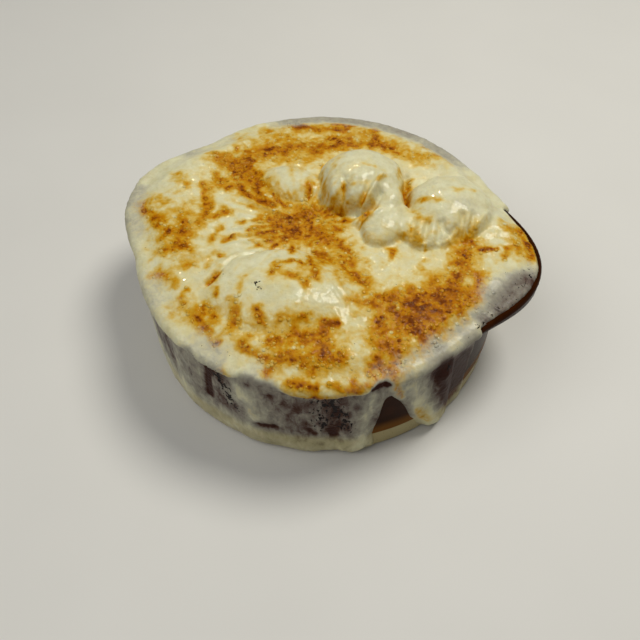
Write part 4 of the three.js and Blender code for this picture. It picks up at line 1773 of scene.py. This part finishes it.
    def browning(self, degrees: Values, points: Values) -> Values:
        """Gives how browned the cheese is at each vertex, before its fine grain."""
        x, y, height = points.T
        places = rows(x, y)
        right = self.brown_drift.at(self.broad, places)
        back = self.brown_drift.at(self.fine, places)
        value = self.brown_share * patched(BROWN, x + right, y + back) + painted(STAIN, x, y)
        value += self.halo_share * patched(BROWN, x + 2 * right, y + 2 * back, self.halo_spread)
        value += self.brown_clouds.at(self.broad, places) + self.brown_grain.at(self.fine, places)
        value += self.streaks(x, y)
        down = smooth(self.crock.height, self.crock.height - self.brown_fade, height)
        return lerp(value, painted(BROWN_WALL, degrees, height), down)

    def streaks(self, x: Values, y: Values) -> Values:
        """Gives the streaks of browning that run out of the hollow on all sides."""
        right = x - self.hollow[0]
        back = y - self.hollow[1]
        away = np.hypot(right, back) + self.streak_eye
        around = self.streak_radius / away
        drawn_out = rows(right * around, back * around, away / self.streak_length)
        fade = smooth(*self.streak_starts, away) * smooth(*self.streak_ends, away)
        return self.streak.at(self.fine, drawn_out) * fade

    def shaded_sides_of_lumps(self, piece: Piece, points: Values) -> Values:
        """Marks the steep sides of the lumps on the top, which are painted warmer and yellower as their
        shade.
        """
        steep = smooth(*self.shade_steep_span, normals_of(piece)[:, 2])
        return steep * smooth(*self.shade_lump_span, points[:, 2] - self.crock.height)

    def crust(self, points: Values, browning: Values) -> Values:
        """Gives the fine rise of the browned places on the top, where the cheese blistered."""
        places = rows(points[:, 0], points[:, 1])
        rough = self.crust_humps.at(self.fine, places) + self.crust_grain.at(self.broad, places)
        on_top = smooth(-self.crust_blend, 0.0, points[:, 2] - self.crock.height)
        return self.crust_rise * rough * smooth(*self.crust_span, browning) * on_top

    def pitted(self, degrees: Values, points: Values) -> Values:
        """Gives how many of the film's small holes there are round each vertex, from 0 to 1."""
        x, y, height = points.T
        down = smooth(*self.pit_blend, height - self.crock.height)
        return np.clip(lerp(painted(PITTED_TOP, x, y), painted(PITTED_WALL, degrees, height), down), 0.0, 1.0)

    # The closed body.

    def close_inside(self, piece: Piece) -> None:
        """Folds the cut edge into the crock's wall and closes the body inside it."""
        select_points(piece, open_edge(piece))
        before = len(piece.data.vertices)
        bpy.ops.mesh.extrude_edges_move(TRANSFORM_OT_translate={"value": (0.0, 0.0, 0.0)})
        bpy.ops.object.mode_set(mode="OBJECT")
        points = points_of(piece)
        ring = np.arange(len(points)) >= before
        radius = np.hypot(points[ring, 0], points[ring, 1])
        drawn = np.minimum(radius - self.least_tuck, self.crock.wall_radius - self.tuck)
        points[ring, :2] *= (drawn / radius)[:, None]
        points[ring, 2] = np.minimum(points[ring, 2], self.crock.height - self.tuck)
        move_points(piece, points)
        select_points(piece, ring)
        bpy.ops.mesh.extrude_edges_move(TRANSFORM_OT_translate={"value": (0.0, 0.0, 0.0)})
        bpy.ops.mesh.merge(type="COLLAPSE")
        bpy.ops.mesh.select_all(action="SELECT")
        bpy.ops.mesh.normals_make_consistent(inside=False)
        bpy.ops.object.mode_set(mode="OBJECT")


@dataclass
class Blisters:
    """Small bubbles that the grill raised in the browned cheese, together one piece."""

    doublings: int = 11
    smallest: float = 0.28
    largest: float = 0.8
    flatness: float = 0.3
    under: float = 0.5
    # Some bubbles are paler: pale cheese, and a painted highlight that stands in for the glints on wet
    # bubbles.
    pale_and_glint_share: float = 0.3
    pale_and_glint_lift: float = 0.13
    sides: int = 7
    rings: int = 5
    seed: int = 21
    # Where bubbles sit: how browned, how level and how far below the highest point.
    brown_span: Point = (0.3, 0.85)
    least_up: float = 0.7
    top_depth: float = 14.0
    # The mean and the spread of how much browner they are than the cheese round them.
    browner: Point = (-0.02, 0.06)

    def build(self, cheese: Piece) -> Piece:
        """Models the bubbles on the browned places of the cheese and dresses them."""
        piece = self.raise_one()
        self.copy(piece)
        self.spread(piece, cheese)
        piece.data.materials.append(cheese.data.materials[0])
        smooth_shading(piece, 180.0)
        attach(piece, "root")
        return piece

    def raise_one(self) -> Piece:
        """Shapes one bubble: a low dome on a flatter underside."""
        deselect_all()
        bpy.ops.mesh.primitive_uv_sphere_add(segments=self.sides, ring_count=self.rings, radius=MM)
        piece = bpy.context.object
        piece.name = "browned_blisters"
        points = points_of(piece)
        select_points(piece, points[:, 2] < 0.0)
        bpy.ops.transform.resize(value=(1.0, 1.0, self.under), center_override=(0.0, 0.0, 0.0))
        bpy.ops.object.mode_set(mode="OBJECT")
        return piece

    def copy(self, piece: Piece) -> None:
        """Doubles the bubbles again and again, all in one place."""
        select_only(piece)
        bpy.ops.object.mode_set(mode="EDIT")
        for _ in range(self.doublings):
            bpy.ops.mesh.select_all(action="SELECT")
            bpy.ops.mesh.duplicate()
        bpy.ops.object.mode_set(mode="OBJECT")

    def spread(self, piece: Piece, cheese: Piece) -> None:
        """Sets the bubbles on the browned cheese, each with its own size, and gives them its colour."""
        count = 2 ** self.doublings
        random = np.random.default_rng(self.seed)
        normals = normals_of(cheese)
        browning = stored(cheese, "browning")
        places = points_of(cheese)
        on_top = places[:, 2] > places[:, 2].max() - self.top_depth
        likely = smooth(*self.brown_span, browning) * (normals[:, 2] > self.least_up) * on_top
        chosen = random.choice(len(places), count, replace=False, p=likely / likely.sum())
        radius = lerp(self.smallest, self.largest, random.random(count) ** 2)
        up = normals[chosen]
        side = np.cross(up, (0.0, 1.0, 0.0))
        side /= np.linalg.norm(side, axis=1, keepdims=True)
        ahead = np.cross(up, side)
        domes = points_of(piece).reshape(count, -1, 3) * radius[:, None, None]
        shape = domes[:, :, :1] * side[:, None] + domes[:, :, 1:2] * ahead[:, None]
        shape = shape + self.flatness * domes[:, :, 2:] * up[:, None]
        move_points(piece, (shape + places[chosen][:, None]).reshape(-1, 3))
        each = domes.shape[1]
        # Paler bubbles: partly pale cheese, partly a painted highlight for their glints.
        deeper = random.normal(*self.browner, count) - self.pale_and_glint_lift * (random.random(count) < self.pale_and_glint_share)
        store(piece, "browning", np.repeat(browning[chosen] + deeper, each))
        for name in ("cover", "pitted"):
            store(piece, name, np.repeat(stored(cheese, name)[chosen], each))
        store(piece, "bubble", np.ones(count * each))


# ---- The stage ----


class Softness(Enum):
    """How large a lamp is, in metres."""

    KEY = 0.35
    FILL = 1.0
    SPARK = 0.012


@dataclass(frozen=True)
class Lamp:
    """A round lamp that looks at the middle of the crock: places in metres, power in watts."""

    name: str
    place: Triple
    size: Softness
    power: float
    colour: Triple = (1.0, 1.0, 1.0)
    aim: Triple = (0.0, 0.0, 0.03)

    def add(self) -> Piece:
        """Adds the lamp to the scene."""
        deselect_all()
        bpy.ops.object.light_add(type="AREA", location=self.place)
        lamp = bpy.context.object
        lamp.name = self.name
        lamp.data.shape = "DISK"
        lamp.data.size = self.size.value
        lamp.data.energy = self.power
        lamp.data.color = self.colour
        ahead = Vector(self.aim) - Vector(self.place)
        lamp.rotation_euler = ahead.to_track_quat("-Z", "Y").to_euler()
        return lamp


@dataclass
class Studio:
    """The pale floor, the soft lamps and the camera."""

    floor_size: float = 4.0
    floor_colour: str = "#d8d6cf"
    floor_shade: str = "#d2d0c9"
    floor_mottle: Grain = Grain(60.0, 2.0)
    floor_roughness: float = 0.6
    key: Lamp = Lamp("key", (0.25, 0.28, 0.76), Softness.KEY, 4.5, (1.0, 0.98, 0.92))
    fill: Lamp = Lamp("fill", (-0.45, -0.35, 0.9), Softness.FILL, 4.6)
    sparks: int = 6
    spark_power: float = 0.25
    spark_colour: Triple = (1.0, 0.87, 0.6)
    spark_middle: Triple = (-0.1, 0.52, 0.6)
    spark_ring: float = 0.17
    room_colour: tuple[float, float, float, float] = (0.93, 0.95, 1.0, 1.0)
    room_light: float = 0.1
    camera_place: Triple = (36.4, -163.9, 217.9)
    camera_azimuth: float = 13.0
    camera_drop: float = 53.61
    lens: float = 39.375
    sensor: float = 36.0
    clip_start: float = 0.01

    def build(self) -> None:
        """Sets up the floor, the lamps, the world and the camera."""
        self.add_floor()
        self.key.add()
        self.fill.add()
        self.add_sparks()
        self.add_world()
        self.add_camera()

    def add_floor(self) -> None:
        """Adds a plain pale floor with a faint mottle."""
        deselect_all()
        bpy.ops.mesh.primitive_plane_add(size=self.floor_size)
        floor = bpy.context.object
        floor.name = "floor"
        shader = Shader("pale_floor")
        shader.constant(Roughness=self.floor_roughness)
        tone = shader.mix(shader.noise(self.floor_mottle), self.floor_colour, self.floor_shade)
        shader.join(tone, shader.surface.inputs["Base Color"])
        floor.data.materials.append(shader.material)

    def add_sparks(self) -> None:
        """Adds small lamps opposite the camera, one in the middle of a ring, for the glints of wet cheese."""
        middle = Vector(self.spark_middle)
        facing = middle.to_track_quat("Z", "Y")
        places = [middle]
        for number in range(1, self.sparks):
            turn = 2 * math.pi * number / (self.sparks - 1)
            places.append(middle + facing @ Vector((math.cos(turn), math.sin(turn), 0.0)) * self.spark_ring)
        for number, place in enumerate(places):
            spark = Lamp(f"spark_{number}", tuple(place), Softness.SPARK, self.spark_power, self.spark_colour)
            spark.add().visible_diffuse = False

    def add_world(self) -> None:
        """Lights the scene softly from all round."""
        world = bpy.data.worlds.new("soft_room")
        world.use_nodes = True
        background = world.node_tree.nodes["Background"]
        background.inputs["Color"].default_value = self.room_colour
        background.inputs["Strength"].default_value = self.room_light
        bpy.context.scene.world = world
        bpy.context.scene.view_settings.view_transform = "Standard"

    def add_camera(self) -> None:
        """Adds the camera above the front, looking down on the crock."""
        deselect_all()
        bpy.ops.object.camera_add(location=[part * MM for part in self.camera_place])
        camera = bpy.context.object
        camera.name = "camera"
        drop = math.radians(self.camera_drop)
        turn = math.radians(self.camera_azimuth)
        ahead = Vector((-math.sin(turn) * math.cos(drop), math.cos(turn) * math.cos(drop), -math.sin(drop)))
        camera.rotation_euler = ahead.to_track_quat("-Z", "Y").to_euler()
        camera.data.lens = self.lens
        camera.data.sensor_width = self.sensor
        camera.data.clip_start = self.clip_start
        bpy.context.scene.camera = camera


def main() -> None:
    """Builds the crock, the cheese and the stage in order."""
    logging.basicConfig(level=logging.INFO, format="%(message)s")
    crock = Crock.from_frame()
    bowl = crock.build()
    LOG.info("%s: %d faces", bowl.name, len(bowl.data.polygons))
    cheese = MeltedCheese(crock, WallPath(crock)).build()
    LOG.info("%s: %d faces", cheese.name, len(cheese.data.polygons))
    blisters = Blisters().build(cheese)
    LOG.info("%s: %d faces", blisters.name, len(blisters.data.polygons))
    Studio().build()


if __name__ == "__main__":
    main()
